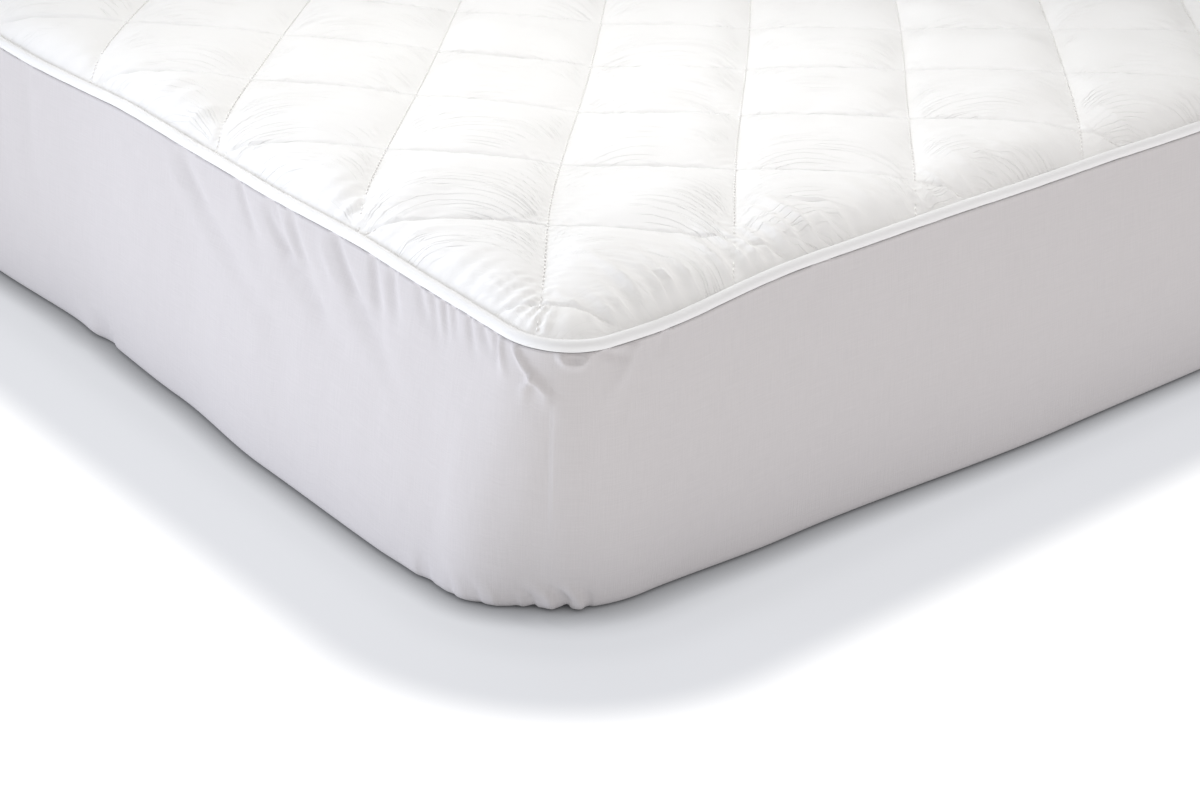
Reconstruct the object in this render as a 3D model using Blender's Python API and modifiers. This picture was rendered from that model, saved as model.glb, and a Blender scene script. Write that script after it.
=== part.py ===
"""A quilted mattress protector, fitted over a plain mattress.

Four solids: the padded top panel with its raised diamond cells, the round piping in the seam round it,
the skirt that falls down the sides and turns under, and the mattress inside.
Metres, +Z up, the floor at z = 0, the bed centred on the origin, its long sides along Y.
"""
import math

import bmesh
import bpy

# Bed, measured between the centres of the piping
BED_WIDTH = 1.350
BED_LENGTH = 1.900
PIPING_HEIGHT = 0.270
PIPING_RADIUS = 0.0052
GAP = 0.0010
SEAM_GAP = 0.0016

# Corners in plan: tight at the piping, rounder where the elastic pulls the skirt in
TOP_CORNER_RADIUS = 0.060
BOTTOM_CORNER_RADIUS = 0.110
CORNER_REACH = 0.140

# The mattress edge gives way a little at each corner, and is uneven near the corner at -X -Y
CORNER_DROOP = 0.009
DROOP_REACH = 0.170
EDGE_UNEVENNESS = (
    # distance from that corner along x, along y, sinks by, reach
    (0.125, 0.0, 0.008, 0.095),
    (0.0, 0.640, -0.006, 0.090),
)

# Top panel
PANEL_INSET = PIPING_RADIUS + SEAM_GAP
SEAM_THICKNESS = 0.004
CROWN_RISE = 0.018
CROWN_RUN = 0.022
MIDDLE_DIP = 0.030
DIP_START = 0.060
DIP_END = 0.620
PUFF_HEIGHT = 0.014
PUFF_ROUNDNESS = 0.60
PUFF_EDGE_RUN = 0.018
RIM_RINGS = (0.010, 0.024)

# Quilting: diamonds that repeat every QUILT_PERIOD along a bed side, counted from the corner at -X -Y
QUILT_PERIOD = 0.2324
LINE_A_OFFSET = 4.166
LINE_B_OFFSET = 0.834
CELL_CUTS = (0.0, 0.11, 0.37, 0.63, 0.89)
UNDERSIDE_CUTS = (0.0,)
LARGE_FACE = 0.0009
WELD = 0.00001

# The quilting is pushed in from the corner at -X -Y and wanders a little elsewhere
SHIFT_X = 0.034
SHIFT_Y = 0.022
SHIFT_CENTRE_Y = 0.039
SHIFT_REACH = 0.170
WANDER = 0.003
EVEN_PLACE_ROUNDS = 12
WANDER_WAVES = (
    # moves the pattern along, radians per metre of x, of y, start
    ("x", 2.0, 9.0, 0.0),
    ("y", 8.0, -3.0, 1.0),
)
CELL_WAVES = (
    # share of the fullness, radians per cell along one line family, along the other
    (0.12, 2.3, 4.1),
    (0.06, 5.7, -1.9),
)

# Each quilt line draws the piping in where it ends
PULL_DEPTH = 0.0012
PULL_FADE = 0.030

# Skirt
CLOTH = 0.002
SKIRT_TOP_OFFSET = 0.0012
SKIRT_BULGE = 0.004
TURN_RADIUS = 0.010
TURN_ANGLES = (0, 40, 90)
HEM_WIDTH = 0.052
GATHER_HEIGHT = 0.0016
GATHER_LENGTH = 0.0467
GATHER_REACH = 0.110
WALL_LEVELS = (0.0, 0.10, 0.34, 0.62, 0.88)

# How far the foot of the skirt stands outside the piping, by distance from the end at -X or at -Y
FLARE_ALONG_Y = (
    # distance, outward
    (0.00, 0.006),
    (0.10, 0.027),
    (0.20, 0.033),
    (0.39, 0.031),
    (0.56, 0.019),
    (0.76, 0.011),
    (0.95, 0.018),
    (1.70, 0.018),
    (1.90, 0.006),
)
FLARE_ALONG_X = (
    # distance, outward
    (0.00, 0.006),
    (0.10, 0.003),
    (0.27, 0.012),
    (0.64, 0.030),
    (0.90, 0.033),
    (1.20, 0.018),
    (1.35, 0.006),
)

# Soft creases in the skirt near the corner at -X -Y, one row each
CREASES = (
    # side (0 along X, 3 along Y), distance at the top, slant, width, depth, levels where it starts and ends
    (3, 0.235, -0.10, 0.020, 0.0016, 0.00, 0.50),
    (3, 0.300, -0.13, 0.024, 0.0022, 0.00, 0.70),
    (3, 0.375, -0.15, 0.026, 0.0026, 0.00, 0.75),
    (3, 0.450, -0.15, 0.026, 0.0022, 0.00, 0.65),
    (3, 0.530, -0.12, 0.024, 0.0018, 0.00, 0.50),
    (3, 0.060, 0.03, 0.014, 0.0020, 0.00, 0.30),
    (0, 0.030, 0.02, 0.014, 0.0018, 0.00, 0.30),
)
CREASE_START = 0.05
CREASE_END = 0.25

# Mattress
MATTRESS_CLEARANCE = 0.0024
MATTRESS_FOOT = 0.0056
FOOT_ROUND = 0.016
FOOT_LEVEL = 0.97
WAIST_LEVEL = 0.50
UNDER_PANEL_CLEARANCE = 0.0030
CREASE_CLEARANCE = 0.0055
SHOULDER_DROP = 0.012

# Spacing of the rows of faces round the edge, one row per side, from the corner at -X -Y along +X
PANEL_SPACING = (
    # first reach, step there, step between, step at the end, last reach
    (0.140, 0.0233, 0.120, 0.0233, 0.140),
    (0.140, 0.0233, 0.120, 0.0233, 0.140),
    (0.140, 0.0233, 0.120, 0.0233, 0.140),
    (0.140, 0.0233, 0.120, 0.0233, 0.140),
)
PIPING_SPACING = (
    # first reach, step there, step between, step at the end, last reach
    (0.140, 0.0200, 0.058, 0.0233, 0.140),
    (0.140, 0.0233, 0.058, 0.0233, 0.140),
    (0.140, 0.0233, 0.058, 0.0233, 0.140),
    (0.140, 0.0233, 0.058, 0.0200, 0.140),
)
SKIRT_SPACING = (
    # first reach, step there, step between, step at the end, last reach
    (0.210, 0.0233, 0.110, 0.0233, 0.140),
    (0.140, 0.0233, 0.125, 0.0233, 0.140),
    (0.140, 0.0233, 0.125, 0.0233, 0.140),
    (0.140, 0.0233, 0.125, 0.0233, 0.560),
)
PIPING_SIDES_LEVEL = 2

COLOURS = {
    # name: red, green, blue, roughness
    "quilted_cotton": (0.86, 0.86, 0.85, 0.85),
    "piping_cotton": (0.88, 0.88, 0.88, 0.80),
    "skirt_cotton": (0.72, 0.71, 0.72, 0.85),
    "mattress_ticking": (0.80, 0.79, 0.76, 0.90),
}

HALF_WIDTH = BED_WIDTH / 2
HALF_LENGTH = BED_LENGTH / 2
PERIMETER = 2 * (BED_WIDTH + BED_LENGTH)

SIDES = (
    # first corner x, y, direction x, y, length, going round from the corner at -X -Y along +X
    (-HALF_WIDTH, -HALF_LENGTH, 1, 0, BED_WIDTH),
    (HALF_WIDTH, -HALF_LENGTH, 0, 1, BED_LENGTH),
    (HALF_WIDTH, HALF_LENGTH, -1, 0, BED_WIDTH),
    (-HALF_WIDTH, HALF_LENGTH, 0, -1, BED_LENGTH),
)


def smooth_step(value, low, high):
    """0 below low, 1 above high, and a soft rise between."""
    t = min(max((value - low) / (high - low), 0.0), 1.0)
    return t * t * (3 - 2 * t)


def bell(distance, width):
    return math.exp(-((distance / width) ** 2))


def table_value(rows, position):
    """Value between the rows of a two-column table, in soft curves."""
    for (x0, y0), (x1, y1) in zip(rows, rows[1:]):
        if position <= x1:
            return y0 + (y1 - y0) * smooth_step(position, x0, x1)
    return rows[-1][1]


def side_of(s):
    """Side number and distance from its first corner, for a distance s round the sharp rectangle."""
    s = s % PERIMETER
    for number, side in enumerate(SIDES):
        if s < side[4]:
            return number, s
        s -= side[4]
    return 0, 0.0


def corner_point(corner, reach, radius):
    """Point and outward direction near a corner; reach runs from -CORNER_REACH to CORNER_REACH."""
    x, y, out_x, out_y, _ = SIDES[corner % 4]
    _, _, in_x, in_y, _ = SIDES[(corner - 1) % 4]
    arc_half = radius * math.pi / 4
    path_half = CORNER_REACH - radius + arc_half
    travelled = reach / CORNER_REACH * path_half
    beyond = max(abs(travelled) - arc_half, 0.0)
    turn = math.copysign(min(abs(travelled), arc_half), travelled) / radius
    along_back = math.cos(math.pi / 4 - turn)
    along_out = math.sin(math.pi / 4 - turn)
    normal_x = along_back * in_x - along_out * out_x
    normal_y = along_back * in_y - along_out * out_y
    x += radius * (out_x - in_x) + radius * normal_x
    y += radius * (out_y - in_y) + radius * normal_y
    if travelled > 0:
        x += beyond * out_x
        y += beyond * out_y
    else:
        x -= beyond * in_x
        y -= beyond * in_y
    return x, y, normal_x, normal_y


def edge_point(s, radius):
    """Point and outward direction on the rounded edge, for a distance s round the sharp rectangle."""
    number, along = side_of(s)
    x, y, dir_x, dir_y, length = SIDES[number]
    if along < CORNER_REACH:
        return corner_point(number, along, radius)
    if along > length - CORNER_REACH:
        return corner_point(number + 1, along - length, radius)
    return x + along * dir_x, y + along * dir_y, dir_y, -dir_x


def stations(spacing):
    """Distances round the edge, close together near the corners and far apart between them."""
    found = []
    start = 0.0
    for side, (first_reach, first_step, middle_step, last_step, last_reach) in zip(SIDES, spacing):
        middle_reach = side[4] - first_reach - last_reach
        for reach, step in ((first_reach, first_step), (middle_reach, middle_step), (last_reach, last_step)):
            count = round(reach / step)
            found += [start + reach * number / count for number in range(count)]
            start += reach
    return found


def inside_distance(x, y):
    """How far a point lies inside the piping line."""
    across = abs(x) - (HALF_WIDTH - TOP_CORNER_RADIUS)
    along = abs(y) - (HALF_LENGTH - TOP_CORNER_RADIUS)
    outside = math.hypot(max(across, 0.0), max(along, 0.0))
    return TOP_CORNER_RADIUS - outside - min(max(across, along), 0.0)


def inward_direction(x, y):
    """Plan direction from the nearest edge into the bed."""
    across = abs(x) - (HALF_WIDTH - TOP_CORNER_RADIUS)
    along = abs(y) - (HALF_LENGTH - TOP_CORNER_RADIUS)
    if across > 0 and along > 0:
        size = math.hypot(across, along)
        return -math.copysign(across / size, x), -math.copysign(along / size, y)
    if across > along:
        return -math.copysign(1.0, x), 0.0
    return 0.0, -math.copysign(1.0, y)


def droop(x, y):
    """How far the edge sinks at a place."""
    to_corner = math.hypot(HALF_WIDTH - abs(x), HALF_LENGTH - abs(y))
    sunk = CORNER_DROOP * bell(to_corner, DROOP_REACH)
    for along_x, along_y, depth, reach in EDGE_UNEVENNESS:
        sunk += depth * bell(math.hypot(x + HALF_WIDTH - along_x, y + HALF_LENGTH - along_y), reach)
    return sunk


def underside_height(x, y):
    """Underside of the top panel: crowned, with a slight dip towards the middle."""
    depth = max(inside_distance(x, y) - PANEL_INSET, 0.0)
    crown = CROWN_RISE * (1 - math.exp(-depth / CROWN_RUN))
    dip = MIDDLE_DIP * smooth_step(depth, DIP_START, DIP_END)
    return PIPING_HEIGHT - SEAM_THICKNESS / 2 - droop(x, y) + crown - dip


def quilt_lines(x, y):
    """Running numbers of the two families of quilt lines; whole numbers lie on a line."""
    across = x + HALF_WIDTH
    along = y + HALF_LENGTH
    a = (across - along) / QUILT_PERIOD + LINE_A_OFFSET
    b = (across + along) / QUILT_PERIOD + LINE_B_OFFSET
    return a, b


def quilt_shift(x, y):
    """How far the quilting at a point has moved from its even pattern."""
    from_corner = math.hypot(x + HALF_WIDTH, y + HALF_LENGTH - SHIFT_CENTRE_Y)
    pushed = bell(from_corner, SHIFT_REACH)
    shift = {"x": SHIFT_X * pushed, "y": SHIFT_Y * pushed}
    for axis, per_x, per_y, start in WANDER_WAVES:
        shift[axis] += WANDER * math.sin(per_x * x + per_y * y + start)
    return shift["x"], shift["y"]


def even_place(x, y):
    """Place in the even pattern that quilt_shift moves to the given point."""
    even_x, even_y = x, y
    for _ in range(EVEN_PLACE_ROUNDS):
        shift_x, shift_y = quilt_shift(even_x, even_y)
        even_x = x - shift_x
        even_y = y - shift_y
    return even_x, even_y


def cell_variation(a, b):
    """A steady, uneven factor for the fullness of each cell."""
    fullness = 1.0
    for share, per_column, per_row in CELL_WAVES:
        fullness += share * math.sin(per_column * math.floor(a) + per_row * math.floor(b))
    return fullness


def puff(even_x, even_y, x, y):
    """Height of the filling above the quilt lines."""
    a, b = quilt_lines(even_x, even_y)
    swell = abs(math.sin(math.pi * a) * math.sin(math.pi * b)) ** PUFF_ROUNDNESS
    depth = max(inside_distance(x, y) - PANEL_INSET, 0.0)
    at_edge = 1 - math.exp(-depth / PUFF_EDGE_RUN)
    return PUFF_HEIGHT * swell * at_edge * cell_variation(a, b)


def pull(x, y):
    """How far the quilt lines draw the edge in."""
    a, b = quilt_lines(*even_place(x, y))
    return PULL_DEPTH * (1 + 0.5 * math.cos(2 * math.pi * a) + 0.5 * math.cos(2 * math.pi * b))


def panel_place(even_x, even_y):
    """Where a point of the even pattern lies on the underside of the top panel."""
    shift_x, shift_y = quilt_shift(even_x, even_y)
    x = even_x + shift_x
    y = even_y + shift_y
    depth = max(inside_distance(x, y) - PANEL_INSET, 0.0)
    drawn = pull(x, y) * math.exp(-depth / PULL_FADE)
    inward_x, inward_y = inward_direction(x, y)
    return x + inward_x * drawn, y + inward_y * drawn, underside_height(x, y)


def drawn_in(s, radius, offset):
    """Point on the edge at an outward offset, drawn in by the quilt lines."""
    x, y, normal_x, normal_y = edge_point(s, radius)
    offset = offset - pull(x, y)
    return x + normal_x * offset, y + normal_y * offset


def foot_flare(s):
    """How far the foot of the skirt stands outside the piping line."""
    number, along = side_of(s)
    from_end = along if number < 2 else SIDES[number][4] - along
    return table_value(FLARE_ALONG_X if number % 2 == 0 else FLARE_ALONG_Y, from_end)


def corner_distance(s):
    """Distance along the edge to the nearest corner."""
    number, along = side_of(s)
    return min(along, SIDES[number][4] - along)


def crease_depth(s, level):
    """Inward depth of the soft creases at one place of the skirt wall."""
    number, along = side_of(s)
    from_corner = along if number == 0 else BED_LENGTH - along
    total = 0.0
    for side, top, slant, width, depth, first, last in CREASES:
        if side == number:
            line = top + slant * level
            fade_in = smooth_step(level, first - CREASE_START, first + CREASE_START)
            fade_out = 1 - smooth_step(level, last - CREASE_END, last)
            total += depth * bell(from_corner - line, width) * fade_in * fade_out
    return total


def new_object(name, mesh, material_name):
    """Object in the part's collection, with its own material."""
    red, green, blue, roughness = COLOURS[material_name]
    material = bpy.data.materials.new(material_name)
    material.use_nodes = True
    shader = material.node_tree.nodes["Principled BSDF"]
    shader.inputs["Base Color"].default_value = (red, green, blue, 1.0)
    shader.inputs["Roughness"].default_value = roughness
    shader.inputs["Metallic"].default_value = 0.0
    mesh.materials.append(material)
    thing = bpy.data.objects.new(name, mesh)
    bpy.data.collections["mattress_protector"].objects.link(thing)
    return thing


def smooth_faces(mesh, angle_degrees):
    """Smooth shading, with edges sharper than the angle kept crisp."""
    mesh.shade_smooth()
    mesh.set_sharp_from_angle(angle=math.radians(angle_degrees))


def ring_stack(work, rings):
    """Closed solid through a list of rings of plan points, each ring a list of (x, y, z)."""
    column = work.verts.layers.int.new("column")
    bmesh.ops.create_circle(work, cap_ends=True, segments=len(rings[0]), radius=1.0)
    for index, vert in enumerate(work.verts):
        vert[column] = index
    face = next(iter(work.faces))
    for vert in face.verts:
        vert.co = rings[0][vert[column]]
    for number, ring in enumerate(rings[1:]):
        made = bmesh.ops.extrude_face_region(work, geom=[face])["geom"]
        if number > 0:
            bmesh.ops.delete(work, geom=[face], context="FACES_ONLY")
        face = next(item for item in made if isinstance(item, bmesh.types.BMFace))
        for vert in face.verts:
            vert.co = ring[vert[column]]
    return face


def inset_rings(work, face, widths):
    """Inset a face one ring after another and return every face of that side."""
    sheet = [face]
    for width in widths:
        made = bmesh.ops.inset_region(work, faces=[face], thickness=width, use_even_offset=True)["faces"]
        sheet += made
    return sheet


def cut_lines(work, faces, cuts):
    """Cut faces along both families of quilt lines, at the given shares of a cell."""
    across = math.ceil(BED_WIDTH / QUILT_PERIOD) + 1
    along = math.ceil(BED_LENGTH / QUILT_PERIOD) + 1
    families = (
        # direction across the lines, first and last line, offset
        ((1, -1, 0), -along, across, LINE_A_OFFSET),
        ((1, 1, 0), -1, across + along, LINE_B_OFFSET),
    )
    for normal, first, last, offset in families:
        for number in range(first, last):
            for share in cuts:
                reach = (number + share - offset % 1) * QUILT_PERIOD
                edges = list({edge for item in faces for edge in item.edges})
                verts = list({vert for item in faces for vert in item.verts})
                made = bmesh.ops.bisect_plane(
                    work,
                    geom=verts + edges + faces,
                    dist=WELD,
                    plane_co=(reach - HALF_WIDTH, -HALF_LENGTH, 0),
                    plane_no=normal,
                )["geom"]
                faces = [item for item in made if isinstance(item, bmesh.types.BMFace)]
    return faces


def bedding_faces(work, face):
    """The coarse faces where panel and mattress meet, split alike on both so that they stay parallel."""
    faces = cut_lines(work, inset_rings(work, face, RIM_RINGS), UNDERSIDE_CUTS)
    large = [item for item in faces if item.calc_area() > LARGE_FACE]
    bmesh.ops.poke(work, faces=large)


def panel_outline(height):
    """Outline of the top panel, laid back into the even pattern."""
    outline = []
    for s in stations(PANEL_SPACING):
        x, y, normal_x, normal_y = edge_point(s, TOP_CORNER_RADIUS)
        even_x, even_y = even_place(x - normal_x * PANEL_INSET, y - normal_y * PANEL_INSET)
        outline.append((even_x, even_y, height))
    return outline


def build_quilted_top():
    """The padded panel: an outline cut along its quilt lines, then raised cell by cell."""
    work = bmesh.new()
    top = ring_stack(work, [panel_outline(0.0), panel_outline(SEAM_THICKNESS)])
    bottom = next(face for face in work.faces if all(vert.co.z < SEAM_THICKNESS / 2 for vert in face.verts))
    cut_lines(work, inset_rings(work, top, RIM_RINGS), CELL_CUTS)
    bedding_faces(work, bottom)
    for vert in work.verts:
        even_x, even_y, level = vert.co
        x, y, height = panel_place(even_x, even_y)
        if level > SEAM_THICKNESS / 2:
            height += SEAM_THICKNESS + puff(even_x, even_y, x, y)
        vert.co = (x, y, height)
    bmesh.ops.recalc_face_normals(work, faces=work.faces[:])
    mesh = bpy.data.meshes.new("quilted_top")
    work.to_mesh(mesh)
    work.free()
    smooth_faces(mesh, 60)
    return new_object("quilted_top", mesh, "quilted_cotton")


def build_piping():
    """The round piping: a closed curve through the seam with a round bevel."""
    curve = bpy.data.curves.new("piping", "CURVE")
    curve.dimensions = "3D"
    curve.bevel_depth = PIPING_RADIUS
    curve.bevel_resolution = PIPING_SIDES_LEVEL
    curve.twist_mode = "Z_UP"
    places = stations(PIPING_SPACING)
    spline = curve.splines.new("POLY")
    spline.points.add(len(places) - 1)
    for point, s in zip(spline.points, places):
        x, y = drawn_in(s, TOP_CORNER_RADIUS, 0.0)
        point.co = (x, y, PIPING_HEIGHT - droop(x, y), 1.0)
    spline.use_cyclic_u = True
    source = bpy.data.objects.new("piping_line", curve)
    mesh = bpy.data.meshes.new_from_object(source)
    mesh.name = "piping"
    bpy.data.objects.remove(source)
    smooth_faces(mesh, 80)
    return new_object("piping", mesh, "piping_cotton")


def wall_ring(places, level):
    """One ring of the outer face of the skirt wall, from the piping (0) down to the turn (1)."""
    ring = []
    radius = TOP_CORNER_RADIUS + (BOTTOM_CORNER_RADIUS - TOP_CORNER_RADIUS) * level
    for s in places:
        top_x, top_y, _, _ = edge_point(s, TOP_CORNER_RADIUS)
        x, y, normal_x, normal_y = edge_point(s, radius)
        drawn = pull(top_x, top_y) * (1 - level) ** 2
        bulge = SKIRT_BULGE * math.sin(math.pi * level)
        offset = SKIRT_TOP_OFFSET + bulge + foot_flare(s) * level - drawn - crease_depth(s, level)
        top = PIPING_HEIGHT - droop(top_x, top_y) - PIPING_RADIUS - GAP
        height = top + (TURN_RADIUS - top) * level
        ring.append((x + normal_x * offset, y + normal_y * offset, height))
    return ring


def turn_ring(places, angle_degrees, inward):
    """One ring of the turn under the mattress, or of the hem that lies flat beyond it."""
    ring = []
    angle = math.radians(angle_degrees)
    for s in places:
        x, y, normal_x, normal_y = edge_point(s, BOTTOM_CORNER_RADIUS)
        at_corner = bell(corner_distance(s), GATHER_REACH)
        back = TURN_RADIUS * (1 - math.cos(angle)) + inward
        offset = SKIRT_TOP_OFFSET + foot_flare(s) - back
        rise = TURN_RADIUS * (1 - math.sin(angle))
        wave = 0.5 - 0.5 * math.cos(2 * math.pi * corner_distance(s) / GATHER_LENGTH)
        if angle_degrees == TURN_ANGLES[-1]:
            rise += GATHER_HEIGHT * at_corner * wave
        ring.append((x + normal_x * offset, y + normal_y * offset, rise))
    return ring


def build_skirt():
    """The skirt: one sheet from the piping to the hem, made solid by its cloth thickness."""
    places = stations(SKIRT_SPACING)
    rings = [wall_ring(places, level) for level in WALL_LEVELS]
    rings += [turn_ring(places, angle, 0.0) for angle in TURN_ANGLES]
    rings += [turn_ring(places, TURN_ANGLES[-1], inward) for inward in (HEM_WIDTH / 2, HEM_WIDTH)]
    work = bmesh.new()
    ring_stack(work, rings)
    bmesh.ops.recalc_face_normals(work, faces=work.faces[:])
    caps = [face for face in work.faces if len(face.verts) > 4]
    bmesh.ops.delete(work, geom=caps, context="FACES_ONLY")
    mesh = bpy.data.meshes.new("skirt")
    work.to_mesh(mesh)
    work.free()
    thing = new_object("skirt", mesh, "skirt_cotton")
    solid = thing.modifiers.new("cloth thickness", "SOLIDIFY")
    solid.thickness = CLOTH
    solid.offset = -1.0
    solid.use_even_offset = True
    smooth_faces(mesh, 50)
    return thing


def mattress_ring(places, level, inward, height):
    """One ring of the mattress, inside the skirt at the same level."""
    radius = TOP_CORNER_RADIUS + (BOTTOM_CORNER_RADIUS - TOP_CORNER_RADIUS) * level
    ring = []
    for s in places:
        x, y, normal_x, normal_y = edge_point(s, radius)
        offset = SKIRT_TOP_OFFSET + foot_flare(s) * level - CLOTH - MATTRESS_CLEARANCE - inward
        drop = droop(x, y) * (1 - level)
        ring.append((x + normal_x * offset, y + normal_y * offset, height - drop))
    return ring


def build_mattress():
    """The plain mattress: rounded foot, straight sides and a crowned top under the panel."""
    places = stations(PANEL_SPACING)
    edge_height = PIPING_HEIGHT - SEAM_THICKNESS / 2 - UNDER_PANEL_CLEARANCE
    rings = [
        mattress_ring(places, 1.0, FOOT_ROUND, MATTRESS_FOOT),
        mattress_ring(places, FOOT_LEVEL, CREASE_CLEARANCE / 4, MATTRESS_FOOT + FOOT_ROUND),
        mattress_ring(places, WAIST_LEVEL, CREASE_CLEARANCE, edge_height / 2),
        mattress_ring(places, 0.0, CREASE_CLEARANCE, edge_height - SHOULDER_DROP),
        panel_outline(edge_height),
    ]
    work = bmesh.new()
    top = ring_stack(work, rings)
    bedding_faces(work, top)
    for vert in work.verts:
        if vert.co.z > edge_height - GAP:
            x, y, height = panel_place(vert.co.x, vert.co.y)
            vert.co = (x, y, height - UNDER_PANEL_CLEARANCE)
    bmesh.ops.recalc_face_normals(work, faces=work.faces[:])
    mesh = bpy.data.meshes.new("mattress")
    work.to_mesh(mesh)
    work.free()
    smooth_faces(mesh, 50)
    return new_object("mattress", mesh, "mattress_ticking")


def main():
    for thing in list(bpy.data.objects):
        bpy.data.objects.remove(thing)
    collection = bpy.data.collections.new("mattress_protector")
    bpy.context.scene.collection.children.link(collection)
    build_quilted_top()
    build_piping()
    build_skirt()
    build_mattress()


main()
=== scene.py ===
"""Finished looks of a quilted mattress protector, fitted over a plain mattress.

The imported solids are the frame. Each operator makes one piece over them: the quilted panel, its stitches,
the piping, the skirt and the ticking of the mattress, and the last one makes the stage.
Metres, +Z up, the floor at z = 0, the bed centred on the origin, its long sides along Y.
"""

import math

import bpy
import numpy as np
from mathutils import Matrix, Vector
from mathutils.geometry import delaunay_2d_cdt
from mathutils.kdtree import KDTree


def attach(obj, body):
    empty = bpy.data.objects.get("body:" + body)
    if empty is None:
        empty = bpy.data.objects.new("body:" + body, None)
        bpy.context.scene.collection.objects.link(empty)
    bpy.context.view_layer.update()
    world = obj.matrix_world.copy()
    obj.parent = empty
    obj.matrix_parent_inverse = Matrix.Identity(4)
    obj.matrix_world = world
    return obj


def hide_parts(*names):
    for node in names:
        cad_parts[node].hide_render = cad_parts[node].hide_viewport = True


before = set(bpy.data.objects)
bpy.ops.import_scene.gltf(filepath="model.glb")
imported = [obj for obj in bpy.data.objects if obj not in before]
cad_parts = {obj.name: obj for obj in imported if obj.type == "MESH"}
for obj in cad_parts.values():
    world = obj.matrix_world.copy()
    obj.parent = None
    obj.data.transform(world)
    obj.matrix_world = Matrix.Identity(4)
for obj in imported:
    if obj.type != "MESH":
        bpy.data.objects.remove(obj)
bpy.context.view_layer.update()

bl_info = {
    "name": "Mattress protector",
    "version": (1, 0, 0),
    "blender": (4, 5, 0),
    "location": "3D View > Sidebar > Protector",
    "description": "Makes a quilted mattress protector over its solids",
    "category": "Object",
}

BODY = "root"

# Bed, measured between the centres of the piping, as in the solids
BED_WIDTH = 1.350
BED_LENGTH = 1.900
PIPING_HEIGHT = 0.270
PIPING_RADIUS = 0.0052
SEAM_GAP = 0.0016
TOP_CORNER_RADIUS = 0.060
BOTTOM_CORNER_RADIUS = 0.110
CORNER_REACH = 0.140

# The mattress edge gives way a little at each corner
CORNER_DROOP = 0.009
DROOP_REACH = 0.170
EDGE_UNEVENNESS = (
    # distance from the corner at -X -Y along x, along y, sinks by, reach
    (0.125, 0.0, 0.008, 0.095),
    (0.0, 0.640, -0.006, 0.090),
)

# Top panel
PANEL_INSET = PIPING_RADIUS + SEAM_GAP
SEAM_THICKNESS = 0.004
CROWN_RISE = 0.018
CROWN_RUN = 0.022
MIDDLE_DIP = 0.030
DIP_START = 0.060
DIP_END = 0.620
PUFF_HEIGHT = 0.0115
PUFF_FLATNESS_A, PUFF_ROUNDNESS_B = 3.4, 0.50
PUFF_EDGE_RUN = 0.014
PUFF_OWN_RUN = 0.0022
GROOVE_DEPTH_A = 0.0003
GROOVE_DEPTH_B = 0.0014
GROOVE_WIDTH = 0.0024
EDGE_INSET = PIPING_RADIUS + 0.0004

# Quilting
QUILT_PERIOD = 0.2324
CELL_SIDE = QUILT_PERIOD / math.sqrt(2)
LINE_A_OFFSET = 4.166
LINE_B_OFFSET = 0.834
FIRST_LINE_A, LAST_LINE_A = -5, 11
FIRST_LINE_B, LAST_LINE_B = 0, 16
SHIFT_X = 0.034
SHIFT_Y = 0.022
SHIFT_CENTRE_Y = 0.039
SHIFT_REACH = 0.170
WANDER = 0.003
EVEN_PLACE_ROUNDS = 12
WANDER_WAVES = (
    # moves the pattern along, radians per metre of x, of y, start
    ("x", 2.0, 9.0, 0.0),
    ("y", 8.0, -3.0, 1.0),
)
CELL_WAVES = (
    # share of the fullness, radians per cell along one line family, along the other
    (0.12, 2.3, 4.1),
    (0.06, 5.7, -1.9),
)
PULL_DEPTH = 0.0012
PULL_FADE = 0.030

# Rows of points on the panel, close together where the photo looks and near the seams
SEAM_CROWDING_A = 0.60
SEAM_CROWDING_B = 0.40
ROWS_A = (
    # from line, to line, points per cell
    (-5, 1, 14),
    (1, 8, 30),
    (8, 11, 14),
)
ROWS_B = (
    # from line, to line, points per cell
    (0, 3, 62),
    (3, 5, 48),
    (5, 7, 32),
    (7, 16, 14),
)
OUTLINE_STEP = 0.0045
OUTLINE_CLEARANCE = 0.0022
UNDERSIDE_STEP = 0.030
WELD_DISTANCE = 1e-6
SHARE_MARGIN = 1e-6

# Cloth of one quilted cell, pushed up by its filling
CELL_KINDS = 24
KIND_STEP_A, KIND_STEP_B = 7, 5
MIRROR_STEP_B, MIRROR_EVERY = 2, 5
CELL_POINTS = 56
CELL_SEED = 11
CLOTH_ROUNDS = 130
CLOTH_INNER_ROUNDS = 8
CLOTH_DRAG = 0.90
CLOTH_SHEAR = 0.15
FILLING_PUSH = 0.030
FILLING_WAVES = 5
FILLING_WAVE_REACH = 9.0
FILLING_WAVE_SHARE = 0.06
FINE_WAVES = 40
FINE_WAVE_SPREAD = 0.40
FINE_WAVE_LOW, FINE_WAVE_HIGH = 45.0, 110.0
FINE_WAVE_HEIGHT = 0.00012

# Arcs of fine wrinkles that bow from one seam of the first family to the next
ARC_HEIGHT = 0.00110
ARC_SPACING = 0.0085
ARC_LENGTH = 0.085
ARC_BOW = 0.44
ARC_POWER, ARC_ROUNDNESS = 2.2, 0.75
ARC_REACH = 0.040
ARC_MIDDLE_SHARE = 0.80
ARC_SEAM_RUN = 0.0060
ARC_CROSS_RUN = 0.0060
ARC_COLUMN_STEPS = (37.0, 11.0)
ARC_WAVES = (
    # share, rate across the arcs, rate along them, start across, start along
    (0.75, 1.0, 1.0, 0.0, 0.0),
    (0.35, 1.9, 1.4, 5.0, 3.0),
)
ARC_SOFT_SHARE, ARC_SHARP_SHARE = 0.60, 0.45
ARC_PATCH = 0.070
ARC_PATCH_START, ARC_PATCH_COLUMN_STEP = 90.0, 7.0
ARC_PATCH_LEVEL, ARC_PATCH_CHANGE = 0.55, 0.60
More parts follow.
